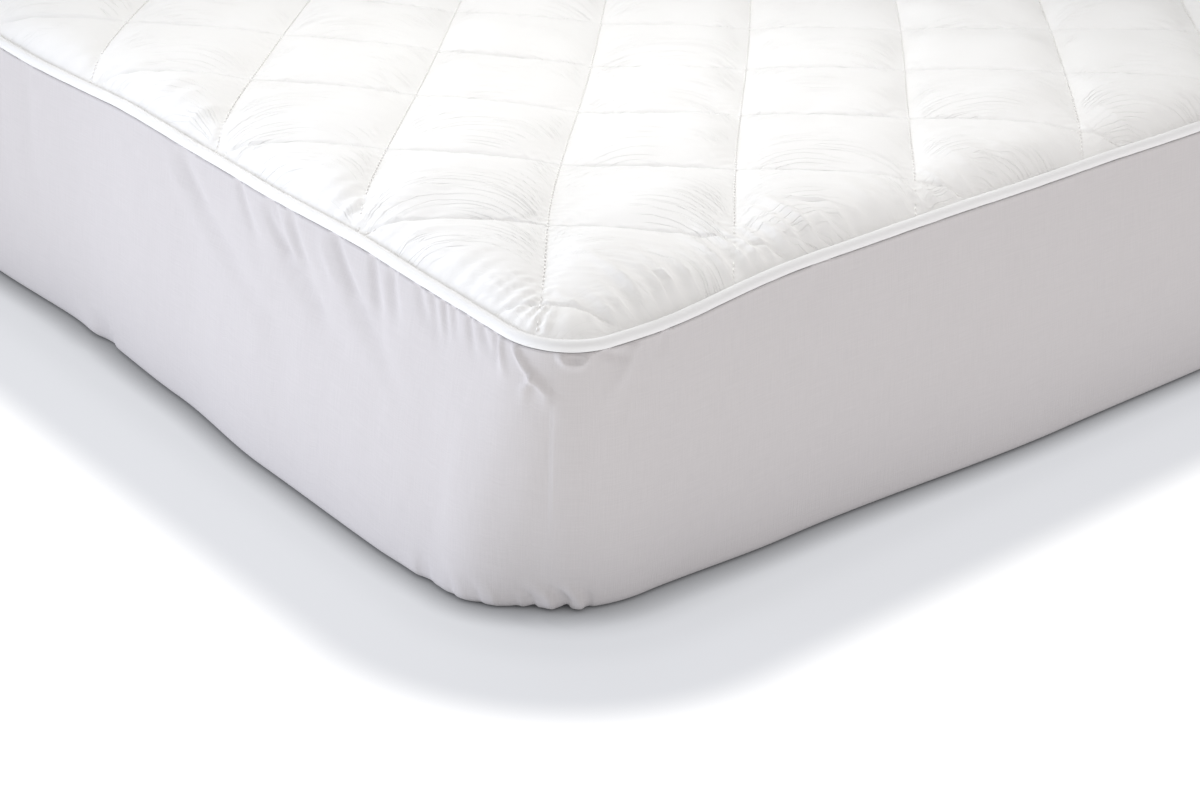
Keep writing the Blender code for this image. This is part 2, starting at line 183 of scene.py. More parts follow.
ARC_PATCH_LOWEST, ARC_PATCH_HIGHEST = 0.1, 1.2
ARC_BORDER_GAIN, ARC_BORDER_REACH = 0.25, 0.060
CORNER_CALM_START, CORNER_CALM_END, CORNER_CALM_SHARE = 1.05, 1.70, 0.25
ARC_SEED = 21
NOISE_ROWS, NOISE_COLUMNS = 512, 128

# Finest wrinkles, thin lines along the same arcs
FINE_SPACING = 0.0110
FINE_LENGTH = 0.100
FINE_LINE = 0.048
FINE_COLUMN_STEP = 3.7
FINE_PATCHES = 12.0
FINE_PATCH_START, FINE_PATCH_END, FINE_PATCH_LOWEST = 0.38, 0.62, 0.05
FINE_MIDDLE_SHARE, FINE_MIDDLE_END = 0.90, 0.30
FINE_SEAM_START = 0.80
FINE_DEPTH = 0.00048

# Small dimples across the first family of seams, one for each stitch
DIMPLE_PITCH = 0.0066
DIMPLE_REACH = 0.0065
DIMPLE_SHARE = 0.40

# Short puckers at the piping, by distance round the edge from the corner at -X -Y
PUCKER_ZONES = (
    # from, to, average spacing, width, length, height
    (0.000, 0.060, 0.015, 0.0046, 0.030, 0.0030),
    (0.060, 0.330, 0.0155, 0.0050, 0.042, 0.0085),
    (0.330, 0.620, 0.022, 0.0056, 0.036, 0.0052),
    (0.620, 6.000, 0.030, 0.0070, 0.036, 0.0034),
    (6.000, 6.330, 0.020, 0.0052, 0.034, 0.0036),
    (6.330, 6.500, 0.014, 0.0045, 0.034, 0.0034),
)
PUCKER_SEED = 5
PUCKER_FIRST_SPREAD = (0.3, 1.0)
PUCKER_SPACING_SPREAD = (0.6, 1.5)
PUCKER_SIZE_SPREAD = (0.7, 1.3)
PUCKER_REACH = 0.110
PUCKER_RISE = 0.006
PUCKER_SINK_SHARE, PUCKER_SINK_REACH = 0.4, 0.05
EDGE_LOOKUP_STEP = 0.002

# Stitches
STITCH_RADIUS = 0.00095
STITCH_FLATNESS = 0.55
STITCH_SEGMENTS = 6
STITCH_RINGS = 3
STITCH_RISE = 0.0011
STITCH_LINE_STEP = 0.006

# Piping
PIPING_STEP = 0.004
PIPING_SIDES = 16
PIPING_SEED = 2
PIPING_WAVES = (
    # radius change, waves round the whole edge, twist round the cord
    (0.00006, 61, 1),
    (0.00005, 137, 2),
    (0.00004, 233, 3),
    (0.00005, 89, 0),
)

# Skirt
SKIRT_TOP_OFFSET = 0.0012
SKIRT_BULGE = 0.004
TURN_RADIUS = 0.010
HEM_WIDTH = 0.052
GATHER_HEIGHT = 0.0016
GATHER_LENGTH = 0.0467
GATHER_REACH = 0.110
FLARE_ALONG_Y = (
    # distance from the end at -Y, outward
    (0.00, 0.006),
    (0.10, 0.027),
    (0.20, 0.033),
    (0.39, 0.031),
    (0.56, 0.019),
    (0.76, 0.011),
    (0.95, 0.018),
    (1.70, 0.018),
    (1.90, 0.006),
)
FLARE_ALONG_X = (
    # distance from the end at -X, outward
    (0.00, 0.006),
    (0.10, 0.003),
    (0.27, 0.012),
    (0.64, 0.030),
    (0.90, 0.033),
    (1.20, 0.018),
    (1.35, 0.006),
)
SKIRT_COLUMNS = (
    # from, to, step round the edge
    (0.00, 0.13, 0.0020),
    (0.13, 1.10, 0.0060),
    (1.10, 5.20, 0.0180),
    (5.20, 6.00, 0.0048),
    (6.00, 6.30, 0.0036),
    (6.30, 6.50, 0.0020),
)
WALL_ROWS = (
    # from level, to level, rows
    (0.00, 0.16, 13),
    (0.16, 0.88, 17),
    (0.88, 1.00, 6),
)
TURN_ROWS = 6
HEM_ROWS = 5

# The top edge of the skirt curls in under the piping
TUCK_CLEARANCE = 0.0004
TUCK_REACHES = (-0.0012, -0.0002, 0.0008, 0.0017, 0.0024)
WALL_TOP_REACH = 0.0028

CREASES = (
    # place and level at the top, place and level at the lower end, width, depth (inward)
    (-0.980, 0.02, -0.965, 0.60, 0.012, 0.0019),
    (-0.925, 0.02, -0.915, 0.55, 0.010, 0.0019),
    (-0.860, 0.02, -0.840, 0.70, 0.014, 0.0017),
    (-0.545, 0.05, -0.360, 0.48, 0.013, 0.0038),
    (-0.570, 0.08, -0.395, 0.50, 0.012, -0.0016),
    (-0.452, 0.00, -0.405, 0.20, 0.007, 0.0032),
    (-0.398, 0.05, -0.255, 0.40, 0.009, 0.0040),
    (-0.392, 0.00, -0.345, 0.22, 0.005, 0.0028),
    (-0.362, 0.03, -0.300, 0.30, 0.008, 0.0042),
    (-0.295, 0.02, -0.185, 0.37, 0.008, 0.0049),
    (-0.312, 0.06, -0.205, 0.38, 0.008, -0.0019),
    (-0.240, 0.01, -0.214, 0.22, 0.006, 0.0046),
    (-0.210, 0.02, -0.196, 0.17, 0.006, 0.0040),
    (-0.172, 0.00, -0.154, 0.12, 0.006, 0.0026),
    (-0.153, 0.00, -0.138, 0.15, 0.005, 0.0028),
    (-0.137, 0.00, -0.126, 0.13, 0.004, 0.0031),
    (-0.122, 0.00, -0.115, 0.10, 0.005, 0.0024),
    (-0.101, 0.00, -0.088, 0.11, 0.004, 0.0026),
    (-0.083, 0.00, -0.068, 0.08, 0.005, 0.0028),
    (-0.062, 0.00, -0.055, 0.10, 0.004, 0.0026),
    (-0.054, 0.00, -0.047, 0.12, 0.0032, -0.0037),
    (-0.038, 0.00, 0.006, 0.20, 0.0036, -0.0046),
    (-0.018, 0.09, -0.030, 0.18, 0.0030, -0.0032),
    (0.046, 0.00, 0.066, 0.05, 0.008, 0.0026),
    (0.082, 0.00, 0.050, 0.18, 0.007, -0.0030),
    (0.118, 0.00, 0.112, 0.08, 0.005, 0.0019),
    (0.300, 0.00, 0.285, 0.16, 0.010, 0.0014),
)
CREASE_FADE, CREASE_END_FADE = 0.35, 0.56
CREASE_CURVE = 1.25
CREASE_WIDTH_SHARE, CREASE_WIDENING = 0.85, 0.8
RIDGE_START, RIDGE_FULL = -0.01, 0.02

# One small loop of cloth hangs under the piping at the corner
LOOP_PLACE = 0.017
LOOP_HALF_WIDTH = 0.012
LOOP_DROP = 0.042
LOOP_RIM = 0.30
LOOP_RISE = 0.0046
LOOP_POCKET = 0.0004
LOOP_POCKET_START, LOOP_POCKET_END = 0.45, 0.95

# Bunched hem, by place from the corner at -X -Y
HEM_FOLDS = (
    # place, slant over the last part of the wall, width, outward, lift
    (-0.735, 0.010, 0.020, 0.0034, 0.0000),
    (-0.702, 0.010, 0.014, -0.0036, 0.0006),
    (-0.142, 0.006, 0.010, 0.0018, 0.0000),
    (-0.122, 0.006, 0.008, -0.0012, 0.0006),
    (-0.090, 0.010, 0.004, -0.0010, 0.0010),
    (-0.078, 0.012, 0.005, 0.0010, 0.0000),
    (-0.064, 0.014, 0.004, -0.0009, 0.0012),
    (-0.050, 0.016, 0.005, 0.0016, 0.0000),
    (-0.032, 0.018, 0.005, -0.0008, 0.0012),
    (-0.016, 0.020, 0.005, -0.0010, 0.0026),
    (0.002, 0.022, 0.006, 0.0040, 0.0000),
    (0.017, 0.018, 0.005, -0.0022, 0.0038),
    (0.030, 0.016, 0.006, 0.0048, 0.0000),
    (0.040, 0.010, 0.004, -0.0018, 0.0004),
)
HEM_FOLD_START = 0.90
HEM_FOLD_RUN, HEM_FOLD_DROP = 1.5, 0.55
SLACK_WAVES = (
    # depth, waves per metre along the skirt, waves down its height, start
    (0.00045, 5.3, 0.35, 0.4),
    (0.00025, 13.0, -0.70, 2.1),
    (0.00012, 29.0, 1.40, 4.0),
)

# Finishes
SPECULAR = 0.25
SHEEN, SHEEN_ROUGHNESS = 0.15, 0.5
CLOTHS = {
    # name: roughness, strength of the slubs, strength of the weave
    "quilted cotton": (0.85, 0.02, 0.10),
    "piping cotton": (0.80, 0.02, 0.15),
    "skirt cotton": (0.90, 0.10, 0.35),
}
WEAVE_SCALES = (
    # threads along the cloth, threads down it
    (28.0, 900.0, 1.0),
    (900.0, 36.0, 1.0),
)
WEAVE_DETAIL = 3.0
WEAVE_DEPTH = 0.0004
THREAD_ROUGHNESS, THREAD_MOTTLE, THREAD_DARKER = 0.6, 60.0, 0.98
TICKING_ROUGHNESS, TICKING_MOTTLE, TICKING_DARKER = 0.9, 220.0, 0.93
TICKING_RELIEF, TICKING_DEPTH = 0.2, 0.0005
FLOOR_ROUGHNESS, FLOOR_SPECULAR = 0.9, 0.1

# Camera and light
IMAGE_WIDTH = 1200
SENSOR_WIDTH = 36.0
FOCAL_PIXELS = 2234.78
CAMERA_PLACE = (-1.68331, -2.15861, 1.03674)
CAMERA_YAW = 41.2644
CAMERA_PITCH = 27.2849
CAMERA_ROLL = -1.8655
FLOOR_SIZE = 9.0
FLOOR_ALBEDO = 0.20
FLOOR_CORNER = 0.110
# Painted contact shadow: the floor's glow darkens close to the cloth
FLOOR_PAINTED_SHADOW_REACH = 0.030
FLOOR_PAINTED_SHADOW_POWER = 1.1
FLOOR_PAINTED_SHADOW_SAMPLES = 8
# Painted shade on the floor: greyer beside the bed, fading out to the far colour
FLOOR_PAINTED_SHADE = (
    # distance from the rounded outline of the bed, share of the painted shade colour, share of the far colour
    (0.015, 0.70, 0.0),
    (0.055, 0.94, 0.0),
    (0.100, 1.00, 0.0),
    (0.132, 1.00, 0.0),
    (0.196, 0.00, 1.0),
)
LIGHTS = (
    # name, place, aims at, size, spread in degrees, power, red, green, blue
    ("top light", (-0.22, -0.15, 1.35), (-0.36, -0.78, 0.29), 1.1, 105, 3.8, 1.0, 0.995, 0.985),
    ("side light", (-2.50, 0.60, 0.60), (-0.68, -1.20, 0.15), 1.0, 80, 5.8, 0.90, 0.96, 1.12),
    ("fill light", (-0.10, -2.60, 1.00), (-0.10, -0.95, 0.15), 1.4, 90, 1.0, 1.12, 0.96, 0.93),
)

HALF_WIDTH = BED_WIDTH / 2
HALF_LENGTH = BED_LENGTH / 2
PERIMETER = 2 * (BED_WIDTH + BED_LENGTH)
SIDES = np.array(
    (
        # first corner x, y, direction x, y, length, going round from the corner at -X -Y along +X
        (-HALF_WIDTH, -HALF_LENGTH, 1, 0, BED_WIDTH),
        (HALF_WIDTH, -HALF_LENGTH, 0, 1, BED_LENGTH),
        (HALF_WIDTH, HALF_LENGTH, -1, 0, BED_WIDTH),
        (-HALF_WIDTH, HALF_LENGTH, 0, -1, BED_LENGTH),
    )
)
SIDE_STARTS = np.array((0.0, BED_WIDTH, BED_WIDTH + BED_LENGTH, 2 * BED_WIDTH + BED_LENGTH))
A_WAY = np.array((1.0, -1.0)) / math.sqrt(2)
B_WAY = np.array((1.0, 1.0)) / math.sqrt(2)


def smooth_step(value, low, high):
    """0 below low, 1 above high, and a soft rise between."""
    t = np.clip((value - low) / (high - low), 0.0, 1.0)
    return t * t * (3 - 2 * t)


def bell(distance, width):
    """1 at no distance, falling to nothing over a few widths."""
    return np.exp(-((distance / width) ** 2))


def table_value(rows, position):
    """Value between the rows of a two-column table, in soft curves."""
    value = np.full(position.shape, rows[-1][1], float)
    for (x0, y0), (x1, y1) in reversed(list(zip(rows, rows[1:]))):
        here = position <= x1
        value[here] = y0 + (y1 - y0) * smooth_step(position[here], x0, x1)
    return value


def side_of(s):
    """Side numbers and distances from their first corner, for distances s round the sharp rectangle."""
    s = np.mod(s, PERIMETER)
    number = np.searchsorted(SIDE_STARTS, s, side="right") - 1
    return number, s - SIDE_STARTS[number]


def corner_point(corner, reach, radius):
    """Points and outward directions near a corner; reach runs from -CORNER_REACH to CORNER_REACH."""
    x, y, out_x, out_y, _ = SIDES[corner % 4].T
    _, _, in_x, in_y, _ = SIDES[(corner - 1) % 4].T
    arc_half = radius * math.pi / 4
    path_half = CORNER_REACH - radius + arc_half
    travelled = reach / CORNER_REACH * path_half
    beyond = np.maximum(np.abs(travelled) - arc_half, 0.0)
    turn = np.copysign(np.minimum(np.abs(travelled), arc_half), travelled) / radius
    along_back = np.cos(math.pi / 4 - turn)
    along_out = np.sin(math.pi / 4 - turn)
    normal_x = along_back * in_x - along_out * out_x
    normal_y = along_back * in_y - along_out * out_y
    x = x + radius * (out_x - in_x) + radius * normal_x
    y = y + radius * (out_y - in_y) + radius * normal_y
    after = travelled > 0
    x += beyond * np.where(after, out_x, -in_x)
    y += beyond * np.where(after, out_y, -in_y)
    return x, y, normal_x, normal_y


def edge_point(s, radius):
    """Points and outward directions on the rounded edge, for distances s round the sharp rectangle."""
    number, along = side_of(s)
    start_x, start_y, dir_x, dir_y, length = SIDES[number].T
    near_end = along > length - CORNER_REACH
    corner = np.where(near_end, number + 1, number)
    reach = np.clip(np.where(near_end, along - length, along), -CORNER_REACH, CORNER_REACH)
    straight = (along >= CORNER_REACH) & ~near_end
    corner_x, corner_y, normal_x, normal_y = corner_point(corner, reach, radius)
    x = np.where(straight, start_x + along * dir_x, corner_x)
    y = np.where(straight, start_y + along * dir_y, corner_y)
    return x, y, np.where(straight, dir_y, normal_x), np.where(straight, -dir_x, normal_y)


def inside_distance(x, y):
    """How far points lie inside the piping line."""
    across = np.abs(x) - (HALF_WIDTH - TOP_CORNER_RADIUS)
    along = np.abs(y) - (HALF_LENGTH - TOP_CORNER_RADIUS)
    outside = np.hypot(np.maximum(across, 0.0), np.maximum(along, 0.0))
    return TOP_CORNER_RADIUS - outside - np.minimum(np.maximum(across, along), 0.0)


def inward_direction(x, y):
    """Plan direction from the nearest edge into the bed."""
    across = np.abs(x) - (HALF_WIDTH - TOP_CORNER_RADIUS)
    along = np.abs(y) - (HALF_LENGTH - TOP_CORNER_RADIUS)
    round_part = (across > 0) & (along > 0)
    size = np.where(round_part, np.hypot(across, along), 1.0)
    share_x = np.where(round_part, across / size, (across > along).astype(float))
    share_y = np.where(round_part, along / size, (across <= along).astype(float))
    return -np.copysign(share_x, x), -np.copysign(share_y, y)


def droop(x, y):
    """How far the edge sinks at a place."""
    to_corner = np.hypot(HALF_WIDTH - np.abs(x), HALF_LENGTH - np.abs(y))
    sunk = CORNER_DROOP * bell(to_corner, DROOP_REACH)
    for along_x, along_y, depth, reach in EDGE_UNEVENNESS:
        sunk = sunk + depth * bell(np.hypot(x + HALF_WIDTH - along_x, y + HALF_LENGTH - along_y), reach)
    return sunk


def underside_height(x, y):
    """Underside of the top panel: crowned, with a slight dip towards the middle."""
    depth = np.maximum(inside_distance(x, y) - PANEL_INSET, 0.0)
    crown = CROWN_RISE * (1 - np.exp(-depth / CROWN_RUN))
    dip = MIDDLE_DIP * smooth_step(depth, DIP_START, DIP_END)
    return PIPING_HEIGHT - SEAM_THICKNESS / 2 - droop(x, y) + crown - dip


def quilt_lines(x, y):
    """Running numbers of the two families of quilt lines; whole numbers lie on a line."""
    across = x + HALF_WIDTH
    along = y + HALF_LENGTH
    a = (across - along) / QUILT_PERIOD + LINE_A_OFFSET
    b = (across + along) / QUILT_PERIOD + LINE_B_OFFSET
    return a, b


def even_point(a, b):
    """Place in the even pattern for running numbers of the two families."""
    difference = (a - LINE_A_OFFSET) * QUILT_PERIOD
    total = (b - LINE_B_OFFSET) * QUILT_PERIOD
    return (total + difference) / 2 - HALF_WIDTH, (total - difference) / 2 - HALF_LENGTH


def quilt_shift(x, y):
    """How far the quilting at a point has moved from its even pattern."""
    pushed = bell(np.hypot(x + HALF_WIDTH, y + HALF_LENGTH - SHIFT_CENTRE_Y), SHIFT_REACH)
    shift = {"x": SHIFT_X * pushed, "y": SHIFT_Y * pushed}
    for axis, per_x, per_y, start in WANDER_WAVES:
        shift[axis] = shift[axis] + WANDER * np.sin(per_x * x + per_y * y + start)
    return shift["x"], shift["y"]


def even_place(x, y):
    """Place in the even pattern that quilt_shift moves to the given point."""
    even_x, even_y = x, y
    for _ in range(EVEN_PLACE_ROUNDS):
        shift_x, shift_y = quilt_shift(even_x, even_y)
        even_x = x - shift_x
        even_y = y - shift_y
    return even_x, even_y


def cell_variation(a, b):
    """A steady, uneven factor for the fullness of each cell."""
    fullness = 1.0
    for share, per_column, per_row in CELL_WAVES:
        fullness = fullness + share * np.sin(per_column * np.floor(a) + per_row * np.floor(b))
    return fullness


def pull(x, y):
    """How far the quilt lines draw the edge in."""
    a, b = quilt_lines(*even_place(x, y))
    return PULL_DEPTH * (1 + 0.5 * np.cos(2 * math.pi * a) + 0.5 * np.cos(2 * math.pi * b))


def panel_place(even_x, even_y):
    """Where points of the even pattern lie on the underside of the top panel."""
    shift_x, shift_y = quilt_shift(even_x, even_y)
    x = even_x + shift_x
    y = even_y + shift_y
    depth = np.maximum(inside_distance(x, y) - PANEL_INSET, 0.0)
    drawn = pull(x, y) * np.exp(-depth / PULL_FADE)
    inward_x, inward_y = inward_direction(x, y)
    return x + inward_x * drawn, y + inward_y * drawn, underside_height(x, y)


def drawn_in(s, radius, offset):
    """Points on the edge at an outward offset, drawn in by the quilt lines."""
    x, y, normal_x, normal_y = edge_point(s, radius)
    offset = offset - pull(x, y)
    return x + normal_x * offset, y + normal_y * offset, normal_x, normal_y


def foot_flare(s):
    """How far the foot of the skirt stands outside the piping line."""
    number, along = side_of(s)
    from_end = np.where(number < 2, along, SIDES[number][:, 4] - along)
    return np.where(
        number % 2 == 0, table_value(FLARE_ALONG_X, from_end), table_value(FLARE_ALONG_Y, from_end)
    )


def corner_distance(s):
    """Distance along the edge to the nearest corner."""
    number, along = side_of(s)
    return np.minimum(along, SIDES[number][:, 4] - along)


def stepped(rows):
    """Evenly spaced values through a table of from, to and count per unit or step."""
    found = [np.linspace(first, last, count, endpoint=False) for first, last, count in rows]
    return np.concatenate(found + [np.array([rows[-1][1]], float)])


def link(thing):
    """Put an object in the scene and give it back."""
    bpy.context.scene.collection.objects.link(thing)
    return thing


def mesh_object(name, points, faces, material):
    """Smooth-shaded mesh object in the scene, from an array of points and an array of faces."""
    mesh = bpy.data.meshes.new(name)
    mesh.from_pydata(points.tolist(), [], faces.tolist())
    mesh.validate()
    mesh.shade_smooth()
    mesh.materials.append(material)
    return link(bpy.data.objects.new(name, mesh))


def add_uv(thing, values):
    """Cloth coordinates in metres, one pair for each point of the mesh."""
    layer = thing.data.uv_layers.new(name="cloth")
    corners = np.empty(len(thing.data.loops), np.int32)
    thing.data.loops.foreach_get("vertex_index", corners)
    layer.data.foreach_set("uv", values[corners].astype(np.float32).ravel())


def finish_piece(thing, node):
    """Hand a finished piece to the frame in place of its solid."""
    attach(thing, BODY)
    if node:
        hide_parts(node)


# Cloth of the quilted cells

def relax_pairs(first, second, rest, stiffness):
    """Move neighbouring points towards their rest distance."""
    span = second - first
    length = np.sqrt((span * span).sum(-1, keepdims=True)) + 1e-9
    change = span * (0.5 * stiffness * (length - rest) / length)
    first += change
    second -= change


def filling_shapes(random, grid_a, grid_b, pillow):
    """Uneven heights that the filling pushes each kind of cell towards."""
    shapes = []
    for _ in range(CELL_KINDS):
        waves = np.zeros_like(grid_a)
        for _ in range(FILLING_WAVES):
            per_a, per_b = random.uniform(-FILLING_WAVE_REACH, FILLING_WAVE_REACH, 2)
            waves += np.sin(per_a * grid_a + per_b * grid_b + random.uniform(0, 2 * math.pi))
        shapes.append(PUFF_HEIGHT * pillow * (1 + FILLING_WAVE_SHARE * waves))
    return np.stack(shapes).astype(np.float32)


def fine_ripples(random, grid_a, grid_b):
    """Faint ripples along the cells, from which the wrinkles grow."""
    ripples = np.zeros((CELL_KINDS,) + grid_a.shape, np.float32)
    for kind in range(CELL_KINDS):
        for _ in range(FINE_WAVES):
            turn = random.normal(0.0, FINE_WAVE_SPREAD)
            rate = random.uniform(FINE_WAVE_LOW, FINE_WAVE_HIGH)
            across = grid_b * math.cos(turn) + grid_a * math.sin(turn)
            ripples[kind] += np.sin(rate * across + random.uniform(0, 2 * math.pi))
    return ripples


def slack_cells(random, grid_a, grid_b):
    """Start of each kind of cell, cloth over its filling, and the heights that it is pushed to."""
    shallow = 1 - np.abs(1 - 2 * grid_a) ** PUFF_FLATNESS_A
    pillow = shallow * np.sin(math.pi * grid_b) ** PUFF_ROUNDNESS_B
    target = filling_shapes(random, grid_a, grid_b, pillow)
    points = np.zeros(target.shape + (3,), np.float32)
    points[..., 0] = grid_a * CELL_SIDE
    points[..., 1] = grid_b * CELL_SIDE
    points[..., 2] = target + FINE_WAVE_HEIGHT * fine_ripples(random, grid_a, grid_b) * pillow
    return points, target


def tighten(points, start, free, rest_a, rest_b):
    """Draw the cloth back to its own lengths once, along both seams and across them."""
    for first in (0, 1):
        relax_pairs(points[:, first:-1:2], points[:, first + 1::2], rest_a, 1.0)
        relax_pairs(points[:, :, first:-1:2], points[:, :, first + 1::2], rest_b, 1.0)
        points[:] = start + (points - start) * free
    rest = math.hypot(rest_a, rest_b)
    for first in (0, 1):
        near = points[:, first:-1:2]
        far = points[:, first + 1::2]
        relax_pairs(near[:, :, :-1], far[:, :, 1:], rest, CLOTH_SHEAR)
        relax_pairs(near[:, :, 1:], far[:, :, :-1], rest, CLOTH_SHEAR)
    points[:] = start + (points - start) * free


def even_out(points, stiffness):
    """Draw each free point towards the middle of its neighbours, as cloth resists a sharp bend."""
    middle = points[:, 1:-1, 1:-1]
    around = points[:, 2:, 1:-1] + points[:, :-2, 1:-1] + points[:, 1:-1, 2:] + points[:, 1:-1, :-2]
    middle += stiffness * (around / 4 - middle)


def quilted_cells(slack_a, slack_b, stiffness):
    """Shapes of the kinds of quilted cell: slack cloth held at its seams and pushed up by the filling."""
    share = np.clip(np.linspace(0, 1, CELL_POINTS + 1), SHARE_MARGIN, 1 - SHARE_MARGIN)
    grid_a, grid_b = np.meshgrid(share, share, indexing="ij")
    points, target = slack_cells(np.random.default_rng(CELL_SEED), grid_a, grid_b)
    start = points.copy()
    free = np.zeros((1, CELL_POINTS + 1, CELL_POINTS + 1, 1), np.float32)
    free[:, 1:-1, 1:-1] = 1
    step = CELL_SIDE / CELL_POINTS
    rest_a = step * (1 + slack_a)
    rest_b = step * (1 + slack_b)
    speed = np.zeros_like(points)
    for _ in range(CLOTH_ROUNDS):
        speed *= CLOTH_DRAG
        before = points.copy()
        points += speed
        points[..., 2] += FILLING_PUSH * (target - points[..., 2])
        for _ in range(CLOTH_INNER_ROUNDS):
            tighten(points, start, free, rest_a, rest_b)
        even_out(points, stiffness)
        speed = points - before
    moved = points - start
    moved[..., 2] = points[..., 2]
    return moved


def cell_movement(cells, a, b):
    """Movement along a, along b and upwards of the cloth at running numbers a and b."""
    column = np.floor(a).astype(int)
    row = np.floor(b).astype(int)
    kind = (KIND_STEP_A * column + KIND_STEP_B * row) % CELL_KINDS
    mirrored = (column + MIRROR_STEP_B * row) % MIRROR_EVERY == 1
    share_a = np.where(mirrored, 1 - (a - column), a - column)
    share_b = b - row
    place_a = np.clip(share_a * CELL_POINTS, 0, CELL_POINTS - SHARE_MARGIN)
    place_b = np.clip(share_b * CELL_POINTS, 0, CELL_POINTS - SHARE_MARGIN)
    low_a = place_a.astype(int)
    low_b = place_b.astype(int)
    part_a = (place_a - low_a)[:, None]
    part_b = (place_b - low_b)[:, None]
    moved = (
        cells[kind, low_a, low_b] * (1 - part_a) * (1 - part_b)
        + cells[kind, low_a + 1, low_b] * part_a * (1 - part_b)
        + cells[kind, low_a, low_b + 1] * (1 - part_a) * part_b
        + cells[kind, low_a + 1, low_b + 1] * part_a * part_b
    )
    moved[:, 0] *= np.where(mirrored, -1, 1)
    return moved


def smooth_noise(table, u, v):
    """Soft uneven values from -1 to 1 at places u and v, in steps of the random table."""
    low_u = np.floor(u).astype(int)
    low_v = np.floor(v).astype(int)
    part_u = smooth_step(u - low_u, 0.0, 1.0)
    part_v = smooth_step(v - low_v, 0.0, 1.0)
    rows, columns = table.shape
    first, second = low_u % rows, (low_u + 1) % rows
    left, right = low_v % columns, (low_v + 1) % columns
    near = table[first, left] * (1 - part_v) + table[first, right] * part_v
    far = table[second, left] * (1 - part_v) + table[second, right] * part_v
    return near * (1 - part_u) + far * part_u


def arc_line(share):
    """Height of a bowed wrinkle over its ends, as a share of its bow, across one cell."""
    return (1 - np.abs(1 - 2 * share) ** ARC_POWER) ** ARC_ROUNDNESS


def arc_waves(table, along, from_left, column):
    """Uneven heights, mostly from -1 to 1, that run along the arcs."""
    u = along / ARC_SPACING + ARC_COLUMN_STEPS[0] * column
    v = from_left / ARC_LENGTH + ARC_COLUMN_STEPS[1] * column
    total = 0.0
    for share, rate_u, rate_v, start_u, start_v in ARC_WAVES:
        total = total + share * smooth_noise(table, rate_u * u + start_u, rate_v * v + start_v)
    return total


def arc_patches(table, along, from_left, column):
    """How strong the arcs are from place to place."""
    u = along / ARC_PATCH + ARC_PATCH_START
    v = from_left / ARC_PATCH + ARC_PATCH_COLUMN_STEP * column
    patch = ARC_PATCH_LEVEL + ARC_PATCH_CHANGE * smooth_noise(table, u, v)
    return np.clip(patch, ARC_PATCH_LOWEST, ARC_PATCH_HIGHEST)


def seam_arcs(a, b, depth):
    """Height of the arcs of fine wrinkles at running numbers a and b, depth in from the edge."""
    table = np.random.default_rng(ARC_SEED).uniform(-1, 1, (NOISE_ROWS, NOISE_COLUMNS))
    column = np.floor(a)
    share = a - column
    from_left = share * CELL_SIDE
    to_seam = np.minimum(share, 1 - share) * CELL_SIDE
    to_cross = np.abs(b - np.round(b)) * CELL_SIDE
    along = b * CELL_SIDE - ARC_BOW * CELL_SIDE * arc_line(share)
    wave = arc_waves(table, along, from_left, column)
    sharp = ARC_SOFT_SHARE * wave - ARC_SHARP_SHARE * (1 - 2 * np.abs(wave))
    patch = arc_patches(table, along, from_left, column)
    reach = ARC_MIDDLE_SHARE + (1 - ARC_MIDDLE_SHARE) * np.exp(-to_seam / ARC_REACH)
    near_seam = 1 - bell(to_seam, ARC_SEAM_RUN)
    near_cross = 1 - bell(to_cross, ARC_CROSS_RUN)
    border = 1 + ARC_BORDER_GAIN * np.exp(-depth / ARC_BORDER_REACH)
    calm = smooth_step(b, CORNER_CALM_START, CORNER_CALM_END)
    border *= CORNER_CALM_SHARE + (1 - CORNER_CALM_SHARE) * calm
    return ARC_HEIGHT * sharp * patch * reach * near_seam * near_cross * border


# Quilted panel

def pucker_rows():
    """Places, widths, lengths and heights of the short puckers at the piping."""
    random = np.random.default_rng(PUCKER_SEED)
    found = []
    for first, last, spacing, width, length, height in PUCKER_ZONES:
        place = first + spacing * random.uniform(*PUCKER_FIRST_SPREAD)
        while place < last:
            scale = random.uniform(*PUCKER_SIZE_SPREAD, 3)
            found.append((place, width * scale[0], length * scale[1], height * scale[2]))
            place += spacing * random.uniform(*PUCKER_SPACING_SPREAD)
    return found


def edge_puckers(x, y, depth):
    """Height of the short puckers that run in from the piping."""
    height = np.zeros_like(x)
    near = np.nonzero(depth < PUCKER_REACH)[0]
    s = np.arange(0.0, PERIMETER, EDGE_LOOKUP_STEP)
    edge_x, edge_y, _, _ = edge_point(s, TOP_CORNER_RADIUS)
    tree = KDTree(len(s))
    for number, (px, py) in enumerate(zip(edge_x, edge_y)):
        tree.insert((px, py, 0.0), number)
    tree.balance()
    place = np.array([s[tree.find((x[item], y[item], 0.0))[1]] for item in near])
    here = depth[near]
    total = np.zeros(len(near))
    for centre, width, length, rise in pucker_rows():
        close = np.abs(np.mod(place - centre + PERIMETER / 2, PERIMETER) - PERIMETER / 2)
        mine = close < 3 * width
        profile = (1 - np.exp(-here[mine] / PUCKER_RISE)) * bell(here[mine], length)
        total[mine] += rise * bell(close[mine], width) * profile
    sunk = PUCKER_SINK_SHARE * total.mean() * (1 - np.exp(-here / PUCKER_RISE))
    height[near] = total - sunk * bell(here, PUCKER_SINK_REACH)
    return height


def panel_edge():
    """Dense outline of the panel in the even pattern."""
    s = np.linspace(0.0, PERIMETER, round(PERIMETER / OUTLINE_STEP), endpoint=False)
    x, y, normal_x, normal_y = edge_point(s, TOP_CORNER_RADIUS)
    return np.stack(even_place(x - normal_x * EDGE_INSET, y - normal_y * EDGE_INSET), 1)


